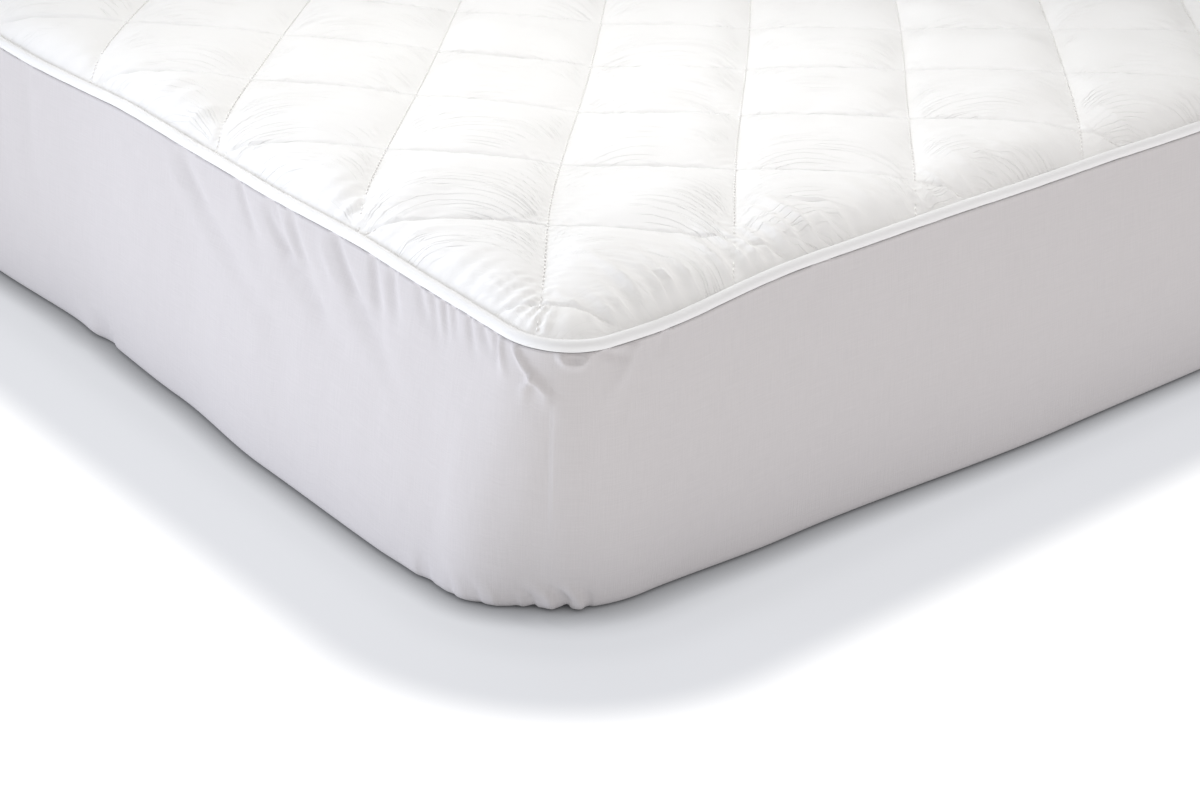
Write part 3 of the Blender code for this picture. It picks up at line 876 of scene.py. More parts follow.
def filled_faces(outline, points):
    """Triangles of an outline with points inside it."""
    flat = [Vector(point) for point in np.concatenate((outline, points)).tolist()]
    border = list(range(len(outline)))
    _, _, faces, origins, _, _ = delaunay_2d_cdt(flat, [], [border], 1, WELD_DISTANCE)
    order = [origin[0] for origin in origins]
    return np.array([(order[i], order[j], order[k]) for i, j, k in faces])


def clear_of_edge(even):
    """Points of the even pattern that lie well inside the outline."""
    shift_x, shift_y = quilt_shift(even[:, 0], even[:, 1])
    depth = inside_distance(even[:, 0] + shift_x, even[:, 1] + shift_y) - EDGE_INSET
    return even[depth > OUTLINE_CLEARANCE]


def groove(a, b):
    """Depth of the sewn groove at running numbers a and b."""
    to_a = np.abs(a - np.round(a)) * CELL_SIDE
    to_b = np.abs(b - np.round(b)) * CELL_SIDE
    return np.maximum(GROOVE_DEPTH_A * bell(to_a, GROOVE_WIDTH), GROOVE_DEPTH_B * bell(to_b, GROOVE_WIDTH))


def crowded(rows, crowding):
    """Running numbers of rows of points, closer together near the seams."""
    even = stepped([(first, last, (last - first) * count) for first, last, count in rows])
    return even - crowding * np.sin(2 * math.pi * even) / (2 * math.pi)


def panel_points():
    """Points inside the outline, on both families of quilt lines and between them."""
    a = crowded(ROWS_A, SEAM_CROWDING_A)
    b = crowded(ROWS_B, SEAM_CROWDING_B)
    grid_a, grid_b = np.meshgrid(a, b, indexing="ij")
    return clear_of_edge(np.stack(even_point(grid_a.ravel(), grid_b.ravel()), 1))


def underside_points():
    """A coarse even grid inside the outline."""
    x = np.arange(-HALF_WIDTH, HALF_WIDTH, UNDERSIDE_STEP)
    y = np.arange(-HALF_LENGTH, HALF_LENGTH, UNDERSIDE_STEP)
    grid_x, grid_y = np.meshgrid(x, y, indexing="ij")
    return clear_of_edge(np.stack((grid_x.ravel(), grid_y.ravel()), 1))


def raised_panel(even, cells):
    """Top surface of the panel over points of the even pattern."""
    x, y, height = panel_place(even[:, 0], even[:, 1])
    depth = np.maximum(inside_distance(x, y) - PANEL_INSET, 0.0)
    a, b = quilt_lines(even[:, 0], even[:, 1])
    moved = cell_movement(cells, a, b)
    at_edge = 1 - np.exp(-depth / PUFF_EDGE_RUN)
    own_edge = 1 - np.exp(-depth / PUFF_OWN_RUN)
    sideways = moved[:, 0, None] * A_WAY + moved[:, 1, None] * B_WAY
    sideways *= (at_edge * own_edge)[:, None]
    rise = moved[:, 2] * at_edge * cell_variation(a, b)
    rise += (seam_arcs(a, b, depth) - groove(a, b)) * own_edge
    rise += edge_puckers(x, y, depth)
    return np.stack((x + sideways[:, 0], y + sideways[:, 1], height + SEAM_THICKNESS + rise), 1)


def rim_faces(count, start):
    """Triangles between the outline of the top and the same outline of the underside."""
    ring = np.arange(count)
    after = np.roll(ring, -1)
    low = ring + start
    low_after = after + start
    return np.concatenate((np.stack((ring, low, low_after), 1), np.stack((ring, low_after, after), 1)))


def build_panel(settings):
    """The padded panel with its quilted cells and puckers, closed by a plain underside."""
    cells = quilted_cells(settings.slack_along, settings.slack_across, settings.stiffness)
    outline = panel_edge()
    inner = panel_points()
    even = np.concatenate((outline, inner))
    top = raised_panel(even, cells)
    under_inner = underside_points()
    under_even = np.concatenate((outline, under_inner))
    under = np.stack(panel_place(under_even[:, 0], under_even[:, 1]), 1)
    top_faces = filled_faces(outline, inner)
    under_faces = filled_faces(outline, under_inner)[:, ::-1] + len(top)
    faces = np.concatenate((top_faces, under_faces, rim_faces(len(outline), len(top))))
    thing = mesh_object("quilted_panel", np.concatenate((top, under)), faces, quilt_material(settings))
    a, b = quilt_lines(*np.concatenate((even, under_even)).T)
    add_uv(thing, np.stack((a * CELL_SIDE, b * CELL_SIDE), 1))
    finish_piece(thing, "quilted_top")
    return thing


# Stitches

def seam_runs():
    """Polylines of the quilting seams on the panel, one for each quilt line."""
    runs = []
    span_a = (FIRST_LINE_A, LAST_LINE_A)
    span_b = (FIRST_LINE_B, LAST_LINE_B)
    count = round((LAST_LINE_A - FIRST_LINE_A) * CELL_SIDE / STITCH_LINE_STEP)
    for along_a, (first, last), (low, high) in ((False, span_a, span_b), (True, span_b, span_a)):
        for number in range(first + 1, last):
            running = np.linspace(low, high, count)
            fixed = np.full(count, float(number))
            even = even_point(running, fixed) if along_a else even_point(fixed, running)
            x, y, height = panel_place(*even)
            inside = inside_distance(x, y) > PANEL_INSET + OUTLINE_CLEARANCE
            if inside.sum() > 2:
                level = height + SEAM_THICKNESS - groove(*quilt_lines(*even)) + STITCH_RISE
                runs.append(np.stack((x, y, level), 1)[inside])
    return runs


def add_node(tree, kind, **inputs):
    """Node of a tree with some of its inputs set by name."""
    node = tree.nodes.new(kind)
    for name, value in inputs.items():
        node.inputs[name].default_value = value
    return node


def stitch_tree(material, length, pitch):
    """Node tree that lays one small rounded stitch after another along every edge run."""
    tree = bpy.data.node_groups.new("stitches", "GeometryNodeTree")
    tree.interface.new_socket("Geometry", in_out="INPUT", socket_type="NodeSocketGeometry")
    pitch_socket = tree.interface.new_socket("Pitch", in_out="INPUT", socket_type="NodeSocketFloat")
    length_socket = tree.interface.new_socket("Length", in_out="INPUT", socket_type="NodeSocketFloat")
    tree.interface.new_socket("Geometry", in_out="OUTPUT", socket_type="NodeSocketGeometry")
    given = add_node(tree, "NodeGroupInput")
    result = add_node(tree, "NodeGroupOutput")
    curve = add_node(tree, "GeometryNodeMeshToCurve")
    resample = add_node(tree, "GeometryNodeResampleCurve")
    resample.mode = "LENGTH"
    tangent = add_node(tree, "GeometryNodeInputTangent")
    align = add_node(tree, "FunctionNodeAlignRotationToVector")
    align.axis = "X"
    bead = add_node(
        tree, "GeometryNodeMeshUVSphere", Segments=STITCH_SEGMENTS, Rings=STITCH_RINGS, Radius=1.0
    )
    scale = add_node(tree, "ShaderNodeCombineXYZ", Y=STITCH_RADIUS, Z=STITCH_RADIUS * STITCH_FLATNESS)
    half = add_node(tree, "ShaderNodeMath")
    half.operation = "MULTIPLY"
    half.inputs[1].default_value = 0.5
    place = add_node(tree, "GeometryNodeInstanceOnPoints")
    real = add_node(tree, "GeometryNodeRealizeInstances")
    cover = add_node(tree, "GeometryNodeSetMaterial", Material=material)
    join = tree.links.new
    join(given.outputs["Geometry"], curve.inputs["Mesh"])
    join(curve.outputs["Curve"], resample.inputs["Curve"])
    join(given.outputs["Pitch"], resample.inputs["Length"])
    join(given.outputs["Length"], half.inputs[0])
    join(half.outputs["Value"], scale.inputs["X"])
    join(tangent.outputs["Tangent"], align.inputs["Vector"])
    join(resample.outputs["Curve"], place.inputs["Points"])
    join(bead.outputs["Mesh"], place.inputs["Instance"])
    join(align.outputs["Rotation"], place.inputs["Rotation"])
    join(scale.outputs["Vector"], place.inputs["Scale"])
    join(place.outputs["Instances"], real.inputs["Geometry"])
    join(real.outputs["Geometry"], cover.inputs["Geometry"])
    join(cover.outputs["Geometry"], result.inputs["Geometry"])
    return tree, {pitch_socket.identifier: pitch, length_socket.identifier: length}


def plain_copy(thing, name):
    """Plain mesh object of what a thing's modifiers make, in its place."""
    graph = bpy.context.evaluated_depsgraph_get()
    mesh = bpy.data.meshes.new_from_object(thing.evaluated_get(graph))
    mesh.name = name
    bpy.data.objects.remove(thing)
    return link(bpy.data.objects.new(name, mesh))


def seam_lines():
    """Object with the seams as runs of bare edges."""
    runs = seam_runs()
    edges = []
    start = 0
    for run in runs:
        ids = np.arange(start, start + len(run))
        edges.append(np.stack((ids[:-1], ids[1:]), 1))
        start += len(run)
    mesh = bpy.data.meshes.new("seam_lines")
    mesh.from_pydata(np.concatenate(runs).tolist(), np.concatenate(edges).tolist(), [])
    return link(bpy.data.objects.new("seam_lines", mesh))


def build_stitches(settings):
    """Rows of small stitches along every seam of the quilting."""
    lines = seam_lines()
    tree, inputs = stitch_tree(thread_material(settings), settings.stitch_length, settings.stitch_pitch)
    modifier = lines.modifiers.new("stitches", "NODES")
    modifier.node_group = tree
    for identifier, value in inputs.items():
        modifier[identifier] = value
    thing = plain_copy(lines, "quilt_stitches")
    thing.data.shade_smooth()
    finish_piece(thing, None)
    return thing


# Piping

def build_piping(settings):
    """The round covered cord in the seam, slightly uneven as cloth over cord is."""
    s = np.linspace(0.0, PERIMETER, round(PERIMETER / PIPING_STEP), endpoint=False)
    x, y, normal_x, normal_y = drawn_in(s, TOP_CORNER_RADIUS, 0.0)
    height = PIPING_HEIGHT - droop(x, y)
    turn = np.linspace(0.0, 2 * math.pi, PIPING_SIDES, endpoint=False)
    radius = np.full((len(s), PIPING_SIDES), PIPING_RADIUS)
    random = np.random.default_rng(PIPING_SEED)
    for change, waves, twist in PIPING_WAVES:
        starts = random.uniform(0, 2 * math.pi)
        phase = waves * 2 * math.pi * s[:, None] / PERIMETER + twist * turn + starts
        radius += change * np.sin(phase)
    out = np.cos(turn) * radius
    up = np.sin(turn) * radius
    place_x = x[:, None] + normal_x[:, None] * out
    place_y = y[:, None] + normal_y[:, None] * out
    points = np.stack((place_x, place_y, height[:, None] + up), -1).reshape(-1, 3)
    thing = mesh_object("piping_cover", points, tube_faces(*radius.shape), piping_material(settings))
    along = np.broadcast_to(s[:, None], radius.shape)
    round_it = np.broadcast_to(turn * PIPING_RADIUS, radius.shape)
    add_uv(thing, np.stack((along.ravel(), round_it.ravel()), 1))
    finish_piece(thing, "piping")
    return thing


def tube_faces(rings, sides):
    """Quads of a closed run of closed rings, facing outwards."""
    ids = np.arange(rings * sides).reshape(rings, sides)
    ahead = np.roll(ids, -1, 0)
    beside = np.roll(ids, -1, 1)
    both = np.roll(ahead, -1, 1)
    return np.stack((ids, ahead, both, beside), -1).reshape(-1, 4)


# Skirt

def corner_place(s):
    """Distance from the corner at -X -Y, negative on the side that runs along Y."""
    return np.mod(s + PERIMETER / 2, PERIMETER) - PERIMETER / 2


def crease_depth(s, level):
    """Inward depth of the soft creases at places of the skirt wall."""
    place = corner_place(s)
    total = np.zeros_like(s)
    for top, top_level, end, end_level, width, depth in CREASES:
        down = (level - top_level) / (end_level - top_level)
        path = min(max(down, 0.0), 1.0)
        line = top + (end - top) * path ** CREASE_CURVE
        fade_in = smooth_step(down, -CREASE_FADE, CREASE_FADE / 2)
        fade_out = 1 - smooth_step(down, 1 - CREASE_END_FADE, 1 + CREASE_FADE)
        widened = width * (CREASE_WIDTH_SHARE + CREASE_WIDENING * path)
        total += depth * bell(place - line, widened) * fade_in * fade_out
    return total


def loop_depth(s, level):
    """The small hanging loop: a rim that stands out round a hollow."""
    place = (corner_place(s) - LOOP_PLACE) / LOOP_HALF_WIDTH
    reach = np.hypot(place, level / LOOP_DROP)
    pocket = 1 - smooth_step(reach, LOOP_POCKET_START, LOOP_POCKET_END)
    return LOOP_POCKET * pocket - LOOP_RISE * bell(reach - 1, LOOP_RIM)


def hem_folds(s, level):
    """Outward movement and lift of the bunched hem; level is 1 from the turn on."""
    place = corner_place(s)
    part = float(smooth_step(level, HEM_FOLD_START, 1.0))
    outward = np.zeros_like(s)
    lift = np.zeros_like(s)
    for centre, slant, width, reach, rise in HEM_FOLDS:
        away = place - centre + slant * (1 - part)
        shape = bell(away, np.where(away < 0, HEM_FOLD_RUN, HEM_FOLD_DROP) * width)
        outward += reach * shape * part
        lift += rise * shape * part
    return outward, lift


def slack(s, level):
    """Faint waves of loose cloth on the skirt wall."""
    total = np.zeros_like(s)
    for depth, per_metre, per_height, start in SLACK_WAVES:
        total += depth * np.sin(2 * math.pi * (per_metre * s + per_height * level) + start)
    return total * np.sin(math.pi * level)


def under_piping(x, y, reach):
    """Height just under the round piping, reach outside its centre line."""
    below = math.sqrt((PIPING_RADIUS + TUCK_CLEARANCE) ** 2 - reach ** 2)
    return PIPING_HEIGHT - droop(x, y) - below


def tuck_row(s, reach):
    """One row of the curl under the piping, close to its round underside."""
    x, y, _, _ = drawn_in(s, TOP_CORNER_RADIUS, reach)
    return np.stack((x, y, under_piping(x, y, reach)), 1)


def wall_row(s, level):
    """One row of points on the outer face of the skirt wall, from the piping (0) down to the turn (1)."""
    radius = TOP_CORNER_RADIUS + (BOTTOM_CORNER_RADIUS - TOP_CORNER_RADIUS) * level
    top_x, top_y, _, _ = edge_point(s, TOP_CORNER_RADIUS)
    x, y, normal_x, normal_y = edge_point(s, radius)
    drawn = pull(top_x, top_y) * (1 - level) ** 2
    bulge = SKIRT_BULGE * math.sin(math.pi * level)
    start = WALL_TOP_REACH + (SKIRT_TOP_OFFSET - WALL_TOP_REACH) * level
    outward, lift = hem_folds(s, level)
    folded = crease_depth(s, level) + loop_depth(s, level)
    folded = np.where(folded > 0, folded, folded * smooth_step(level, RIDGE_START, RIDGE_FULL))
    offset = start + bulge + foot_flare(s) * level - drawn - folded + slack(s, level) + outward
    top = under_piping(top_x, top_y, WALL_TOP_REACH)
    height = top + (TURN_RADIUS - top) * level + lift
    return np.stack((x + normal_x * offset, y + normal_y * offset, height), 1)


def turn_row(s, angle, inward):
    """One row of the turn under the mattress, or of the hem that lies flat beyond it."""
    x, y, normal_x, normal_y = edge_point(s, BOTTOM_CORNER_RADIUS)
    back = TURN_RADIUS * (1 - math.cos(angle)) + inward
    outward, lift = hem_folds(s, 1.0)
    kept = math.cos(angle) if inward == 0 else 0.0
    offset = SKIRT_TOP_OFFSET + foot_flare(s) - back + outward * kept
    rise = TURN_RADIUS * (1 - math.sin(angle)) + lift
    if inward > 0:
        at_corner = bell(corner_distance(s), GATHER_REACH)
        wave = 0.5 - 0.5 * np.cos(2 * math.pi * corner_distance(s) / GATHER_LENGTH)
        rise = rise + GATHER_HEIGHT * at_corner * wave
    return np.stack((x + normal_x * offset, y + normal_y * offset, rise), 1)


def skirt_columns():
    """Distances round the edge of the columns of points on the skirt."""
    rows = [(first, last, round((last - first) / step)) for first, last, step in SKIRT_COLUMNS]
    return stepped(rows)[:-1]


def skirt_rows(s):
    """Outer face of the skirt, row by row from the piping to the hem."""
    levels = stepped(WALL_ROWS)
    rows = [tuck_row(s, reach) for reach in TUCK_REACHES]
    rows += [wall_row(s, level) for level in levels[:-1]]
    angles = np.linspace(0.0, math.pi / 2, TURN_ROWS, endpoint=False)
    rows += [turn_row(s, angle, 0.0) for angle in angles]
    rows += [turn_row(s, math.pi / 2, inward) for inward in np.linspace(0.0, HEM_WIDTH, HEM_ROWS)]
    return np.stack(rows)


def grid_normals(points):
    """Outward directions of a grid of points that is closed along its second axis."""
    down = np.gradient(points, axis=0)
    along = (np.roll(points, -1, 1) - np.roll(points, 1, 1)) / 2
    normal = np.cross(along, -down)
    return normal / np.linalg.norm(normal, axis=-1, keepdims=True)


def band_faces(ids, flip):
    """Quads of a grid of point numbers that is closed along its second axis."""
    beside = np.roll(ids, -1, 1)
    quads = np.stack((ids[:-1], ids[1:], beside[1:], beside[:-1]), -1).reshape(-1, 4)
    return quads[:, ::-1] if flip else quads


def build_skirt(settings):
    """The skirt: one thin closed sheet from the piping down the sides to the hem under the mattress."""
    s = skirt_columns()
    outer = skirt_rows(s)
    inner = outer - grid_normals(outer) * settings.cloth_thickness
    rows, columns, _ = outer.shape
    ids = np.arange(rows * columns).reshape(rows, columns)
    inner_ids = ids + rows * columns
    top_rim = band_faces(np.stack((inner_ids[0], ids[0])), False)
    low_rim = band_faces(np.stack((ids[-1], inner_ids[-1])), False)
    faces = np.concatenate((band_faces(ids, False), band_faces(inner_ids, True), top_rim, low_rim))
    points = np.concatenate((outer.reshape(-1, 3), inner.reshape(-1, 3)))
    thing = mesh_object("skirt_cloth", points, faces, skirt_material(settings))
    drop = np.zeros((rows, columns))
    drop[1:] = np.cumsum(np.linalg.norm(np.diff(outer, axis=0), axis=-1), 0)
    uv = np.stack((np.broadcast_to(s, (rows, columns)), -drop), -1).reshape(-1, 2)
    add_uv(thing, np.concatenate((uv, uv)))
    finish_piece(thing, "skirt")
    return thing


# Materials

def new_material(name, colour, roughness):
    """Material whose constant values stand on its own shader."""
    material = bpy.data.materials.new(name)
    material.use_nodes = True
    shader = material.node_tree.nodes["Principled BSDF"]
    shader.inputs["Base Color"].default_value = (*colour, 1.0)
    shader.inputs["Roughness"].default_value = roughness
    shader.inputs["Specular IOR Level"].default_value = SPECULAR
    shader.inputs["Sheen Weight"].default_value = SHEEN
    shader.inputs["Sheen Roughness"].default_value = SHEEN_ROUGHNESS
    return material, shader


def calc(tree, operation, *values):
    """Output of a math node whose inputs are sockets or plain numbers."""
    node = tree.nodes.new("ShaderNodeMath")
    node.operation = operation
    for socket, value in zip(node.inputs, values):
        if isinstance(value, bpy.types.NodeSocket):
            tree.links.new(value, socket)
        else:
            socket.default_value = value
    return node.outputs["Value"]


def scaled(tree, vector, scale):
    """A vector or colour socket, made longer or brighter by another socket."""
    node = tree.nodes.new("ShaderNodeVectorMath")
    node.operation = "SCALE"
    tree.links.new(vector, node.inputs["Vector"])
    tree.links.new(scale, node.inputs["Scale"])
    return node.outputs["Vector"]


def noise_value(tree, scale, *places):
    """Noise from 0 to 1 at a place made of one or two sockets."""
    joined = tree.nodes.new("ShaderNodeCombineXYZ")
    for socket, value in zip(joined.inputs, places):
        tree.links.new(value, socket)
    noise = add_node(tree, "ShaderNodeTexNoise", Scale=scale, Detail=1.0)
    noise.noise_dimensions = "2D"
    tree.links.new(joined.outputs["Vector"], noise.inputs["Vector"])
    return noise.outputs["Fac"]


def eased(tree, value, low, high, start, end):
    """Value carried smoothly from one range to another."""
    node = tree.nodes.new("ShaderNodeMapRange")
    node.interpolation_type = "SMOOTHSTEP"
    for name, number in (("From Min", low), ("From Max", high), ("To Min", start), ("To Max", end)):
        node.inputs[name].default_value = number
    tree.links.new(value, node.inputs["Value"])
    return node.outputs["Result"]


def cloth_places(tree):
    """Places on the cloth, in metres."""
    place = tree.nodes.new("ShaderNodeUVMap")
    place.uv_map = "cloth"
    return place.outputs["UV"]


def cloth_group():
    """Shared effect of woven cloth: slubs along both threads, slight changes of tone, height for bump."""
    if "woven cloth" in bpy.data.node_groups:
        return bpy.data.node_groups["woven cloth"]
    tree = bpy.data.node_groups.new("woven cloth", "ShaderNodeTree")
    tree.interface.new_socket("Colour", in_out="INPUT", socket_type="NodeSocketColor")
    tree.interface.new_socket("Slubs", in_out="INPUT", socket_type="NodeSocketFloat")
    tree.interface.new_socket("Colour", in_out="OUTPUT", socket_type="NodeSocketColor")
    tree.interface.new_socket("Height", in_out="OUTPUT", socket_type="NodeSocketFloat")
    given = tree.nodes.new("NodeGroupInput")
    result = tree.nodes.new("NodeGroupOutput")
    place = cloth_places(tree)
    threads = []
    for scale in WEAVE_SCALES:
        stretch = add_node(tree, "ShaderNodeMapping", Scale=scale)
        noise = add_node(tree, "ShaderNodeTexNoise", Scale=1.0, Detail=WEAVE_DETAIL)
        tree.links.new(place, stretch.inputs["Vector"])
        tree.links.new(stretch.outputs["Vector"], noise.inputs["Vector"])
        threads.append(noise.outputs["Fac"])
    centred = calc(tree, "SUBTRACT", calc(tree, "ADD", *threads), 1.0)
    strength = calc(tree, "MULTIPLY_ADD", centred, given.outputs["Slubs"], 1.0)
    tone = scaled(tree, given.outputs["Colour"], strength)
    tree.links.new(tone, result.inputs["Colour"])
    tree.links.new(centred, result.inputs["Height"])
    return tree


def woven_material(name, colour):
    """Cotton cloth with faint slubs, and the bump node of its weave."""
    roughness, slubs, strength = CLOTHS[name]
    material, shader = new_material(name, colour, roughness)
    tree = material.node_tree
    weave = tree.nodes.new("ShaderNodeGroup")
    weave.node_tree = cloth_group()
    weave.inputs["Colour"].default_value = (*colour, 1.0)
    weave.inputs["Slubs"].default_value = slubs
    relief = add_node(tree, "ShaderNodeBump", Strength=strength, Distance=WEAVE_DEPTH)
    tree.links.new(weave.outputs["Colour"], shader.inputs["Base Color"])
    tree.links.new(weave.outputs["Height"], relief.inputs["Height"])
    tree.links.new(relief.outputs["Normal"], shader.inputs["Normal"])
    return material, relief


def wrinkle_group():
    """Shared effect of the finest wrinkles of the quilted cloth, thin lines along the same arcs."""
    tree = bpy.data.node_groups.new("fine wrinkles", "ShaderNodeTree")
    tree.interface.new_socket("Height", in_out="OUTPUT", socket_type="NodeSocketFloat")
    result = tree.nodes.new("NodeGroupOutput")
    apart = tree.nodes.new("ShaderNodeSeparateXYZ")
    tree.links.new(cloth_places(tree), apart.inputs["Vector"])
    along_a, along_b = apart.outputs["X"], apart.outputs["Y"]
    cells = calc(tree, "DIVIDE", along_a, CELL_SIDE)
    column = calc(tree, "FLOOR", cells)
    share = calc(tree, "FRACT", cells)
    off_middle = calc(tree, "ABSOLUTE", calc(tree, "MULTIPLY_ADD", share, -2.0, 1.0))
    bowed = calc(tree, "SUBTRACT", 1.0, calc(tree, "POWER", off_middle, ARC_POWER))
    arc = calc(tree, "POWER", bowed, ARC_ROUNDNESS)
    level = calc(tree, "MULTIPLY_ADD", arc, -ARC_BOW * CELL_SIDE, along_b)
    across = calc(tree, "MULTIPLY_ADD", column, FINE_COLUMN_STEP, calc(tree, "DIVIDE", level, FINE_SPACING))
    length = calc(tree, "DIVIDE", along_a, FINE_LENGTH)
    wave = calc(tree, "ABSOLUTE", calc(tree, "SUBTRACT", noise_value(tree, 1.0, across, length), 0.5))
    line = eased(tree, wave, 0.0, FINE_LINE, 1.0, 0.0)
    uneven = noise_value(tree, FINE_PATCHES, along_a, along_b)
    patch = eased(tree, uneven, FINE_PATCH_START, FINE_PATCH_END, FINE_PATCH_LOWEST, 1.0)
    seam = eased(tree, off_middle, FINE_MIDDLE_END, 1.0, FINE_MIDDLE_SHARE, 1.0)
    beside = eased(tree, off_middle, FINE_SEAM_START, 1.0, 1.0, 0.0)
    depth = calc(tree, "MULTIPLY", calc(tree, "MULTIPLY", line, patch), calc(tree, "MULTIPLY", seam, beside))
    calm_start, calm_end = CORNER_CALM_START * CELL_SIDE, CORNER_CALM_END * CELL_SIDE
    calm = eased(tree, along_b, calm_start, calm_end, -CORNER_CALM_SHARE, -1.0)
    lines = calc(tree, "MULTIPLY", depth, calm)
    rung = calc(tree, "SINE", calc(tree, "MULTIPLY", along_b, 2 * math.pi / DIMPLE_PITCH))
    on_seam = eased(tree, off_middle, 1 - 2 * DIMPLE_REACH / CELL_SIDE, 1.0, 0.0, DIMPLE_SHARE)
    dimples = calc(tree, "MULTIPLY", rung, on_seam)
    tree.links.new(calc(tree, "ADD", lines, dimples), result.inputs["Height"])
    return tree


def quilt_material(settings):
    """Quilted cotton: the woven cloth with the finest of its wrinkles."""
    material, weave = woven_material("quilted cotton", settings.cotton_colour)
    tree = material.node_tree
    wrinkles = tree.nodes.new("ShaderNodeGroup")
    wrinkles.node_tree = wrinkle_group()
    relief = add_node(tree, "ShaderNodeBump", Distance=FINE_DEPTH)
    tree.links.new(wrinkles.outputs["Height"], relief.inputs["Height"])
    tree.links.new(relief.outputs["Normal"], weave.inputs["Normal"])
    return material


def piping_material(settings):
    """Cotton of the piping."""
    return woven_material("piping cotton", settings.cotton_colour)[0]


def skirt_material(settings):
    """Cotton of the skirt, its colour greyed with painted shade."""
    return woven_material("skirt cotton", settings.cotton_colour)[0]


def mottled_material(name, colour, roughness, fineness, darker):
    """Material with a faint mottle in its colour, its shader and the mottle."""
    material, shader = new_material(name, colour, roughness)
    tree = material.node_tree
    place = tree.nodes.new("ShaderNodeTexCoord")
    noise = add_node(tree, "ShaderNodeTexNoise", Scale=fineness)
    mix = tree.nodes.new("ShaderNodeMix")
    mix.data_type = "RGBA"
    mix.inputs["A"].default_value = (*[channel * darker for channel in colour], 1.0)
    mix.inputs["B"].default_value = (*colour, 1.0)
    tree.links.new(place.outputs["Object"], noise.inputs["Vector"])
    tree.links.new(noise.outputs["Fac"], mix.inputs["Factor"])
    tree.links.new(mix.outputs["Result"], shader.inputs["Base Color"])
    return material, shader, noise.outputs["Fac"]


def thread_material(settings):
    """Slightly creamy sewing thread."""
    finish = (THREAD_ROUGHNESS, THREAD_MOTTLE, THREAD_DARKER)
    return mottled_material("sewing thread", settings.thread_colour, *finish)[0]


def ticking_material(settings):
    """Plain ticking with a faint mottle."""
    finish = (TICKING_ROUGHNESS, TICKING_MOTTLE, TICKING_DARKER)
    material, shader, mottle = mottled_material("mattress ticking", settings.ticking_colour, *finish)
    tree = material.node_tree
    relief = add_node(tree, "ShaderNodeBump", Strength=TICKING_RELIEF, Distance=TICKING_DEPTH)
    tree.links.new(mottle, relief.inputs["Height"])
    tree.links.new(relief.outputs["Normal"], shader.inputs["Normal"])
    return material


def bed_distance(tree):
    """Distance of a floor point from the rounded outline of the bed."""
    place = tree.nodes.new("ShaderNodeTexCoord")
    apart = tree.nodes.new("ShaderNodeSeparateXYZ")
    tree.links.new(place.outputs["Object"], apart.inputs["Vector"])
    squares = []
    for axis, half in (("X", HALF_WIDTH), ("Y", HALF_LENGTH)):
        size = calc(tree, "ABSOLUTE", apart.outputs[axis])
        past = calc(tree, "SUBTRACT", size, half - FLOOR_CORNER)
        squares.append(calc(tree, "POWER", calc(tree, "MAXIMUM", past, 0.0), 2.0))
    root = calc(tree, "SQRT", calc(tree, "ADD", *squares))
    return calc(tree, "SUBTRACT", root, FLOOR_CORNER)


def painted_floor_shade(tree, distance, settings):
    """Painted shade of the floor: its colour by distance from the bed, greyer close to it."""
    ramp = tree.nodes.new("ShaderNodeValToRGB")
    ramp.color_ramp.interpolation = "EASE"
    stops = ramp.color_ramp.elements
    while len(stops) < len(FLOOR_PAINTED_SHADE):
        stops.new(0.5)
    for stop, (reach, near, far) in zip(stops, FLOOR_PAINTED_SHADE):
        stop.position = reach
        pairs = zip(settings.floor_shade_colour, settings.floor_far_colour)
        stop.color = (*[near * tone + far * far_tone for tone, far_tone in pairs], 1.0)
    tree.links.new(distance, ramp.inputs["Fac"])
    return ramp.outputs["Color"]


def painted_contact_shadow(tree):
    """Painted contact shadow: share of the floor's glow that is left close to the cloth."""
    painted_contact = add_node(tree, "ShaderNodeAmbientOcclusion", Distance=FLOOR_PAINTED_SHADOW_REACH)
    painted_contact.samples = FLOOR_PAINTED_SHADOW_SAMPLES
    return calc(tree, "POWER", painted_contact.outputs["AO"], FLOOR_PAINTED_SHADOW_POWER)


def floor_material(settings):
    """Pale floor that glows, with painted shade in its glow: greyer beside the bed, and a painted contact
    shadow where the cloth is close.
    """
    colour = [FLOOR_ALBEDO * tone for tone in settings.floor_shade_colour]
    material, shader = new_material("pale floor", colour, FLOOR_ROUGHNESS)
    shader.inputs["Specular IOR Level"].default_value = FLOOR_SPECULAR
    shader.inputs["Sheen Weight"].default_value = 0.0
    shader.inputs["Emission Strength"].default_value = settings.floor_glow
    tree = material.node_tree
    painted_shade = painted_floor_shade(tree, bed_distance(tree), settings)
    glow = scaled(tree, painted_shade, painted_contact_shadow(tree))
    tree.links.new(glow, shader.inputs["Emission Color"])
    return material


# Stage

def build_camera():
    """Camera at the place from which the photo was taken."""
    yaw, pitch, roll = (math.radians(angle) for angle in (CAMERA_YAW, CAMERA_PITCH, CAMERA_ROLL))
    forward = Vector((math.sin(yaw) * math.cos(pitch), math.cos(yaw) * math.cos(pitch), -math.sin(pitch)))
    level_right = Vector((math.cos(yaw), -math.sin(yaw), 0.0))
    level_down = forward.cross(level_right)
    right = math.cos(roll) * level_right + math.sin(roll) * level_down
    down = math.cos(roll) * level_down - math.sin(roll) * level_right
    turn = Matrix((right, -down, -forward)).transposed().to_4x4()
    data = bpy.data.cameras.new("photo camera")
    data.sensor_width = SENSOR_WIDTH
    data.lens = FOCAL_PIXELS * SENSOR_WIDTH / IMAGE_WIDTH
    data.clip_end = 50.0
    camera = link(bpy.data.objects.new("photo camera", data))
    camera.matrix_world = Matrix.Translation(CAMERA_PLACE) @ turn
    bpy.context.scene.camera = camera


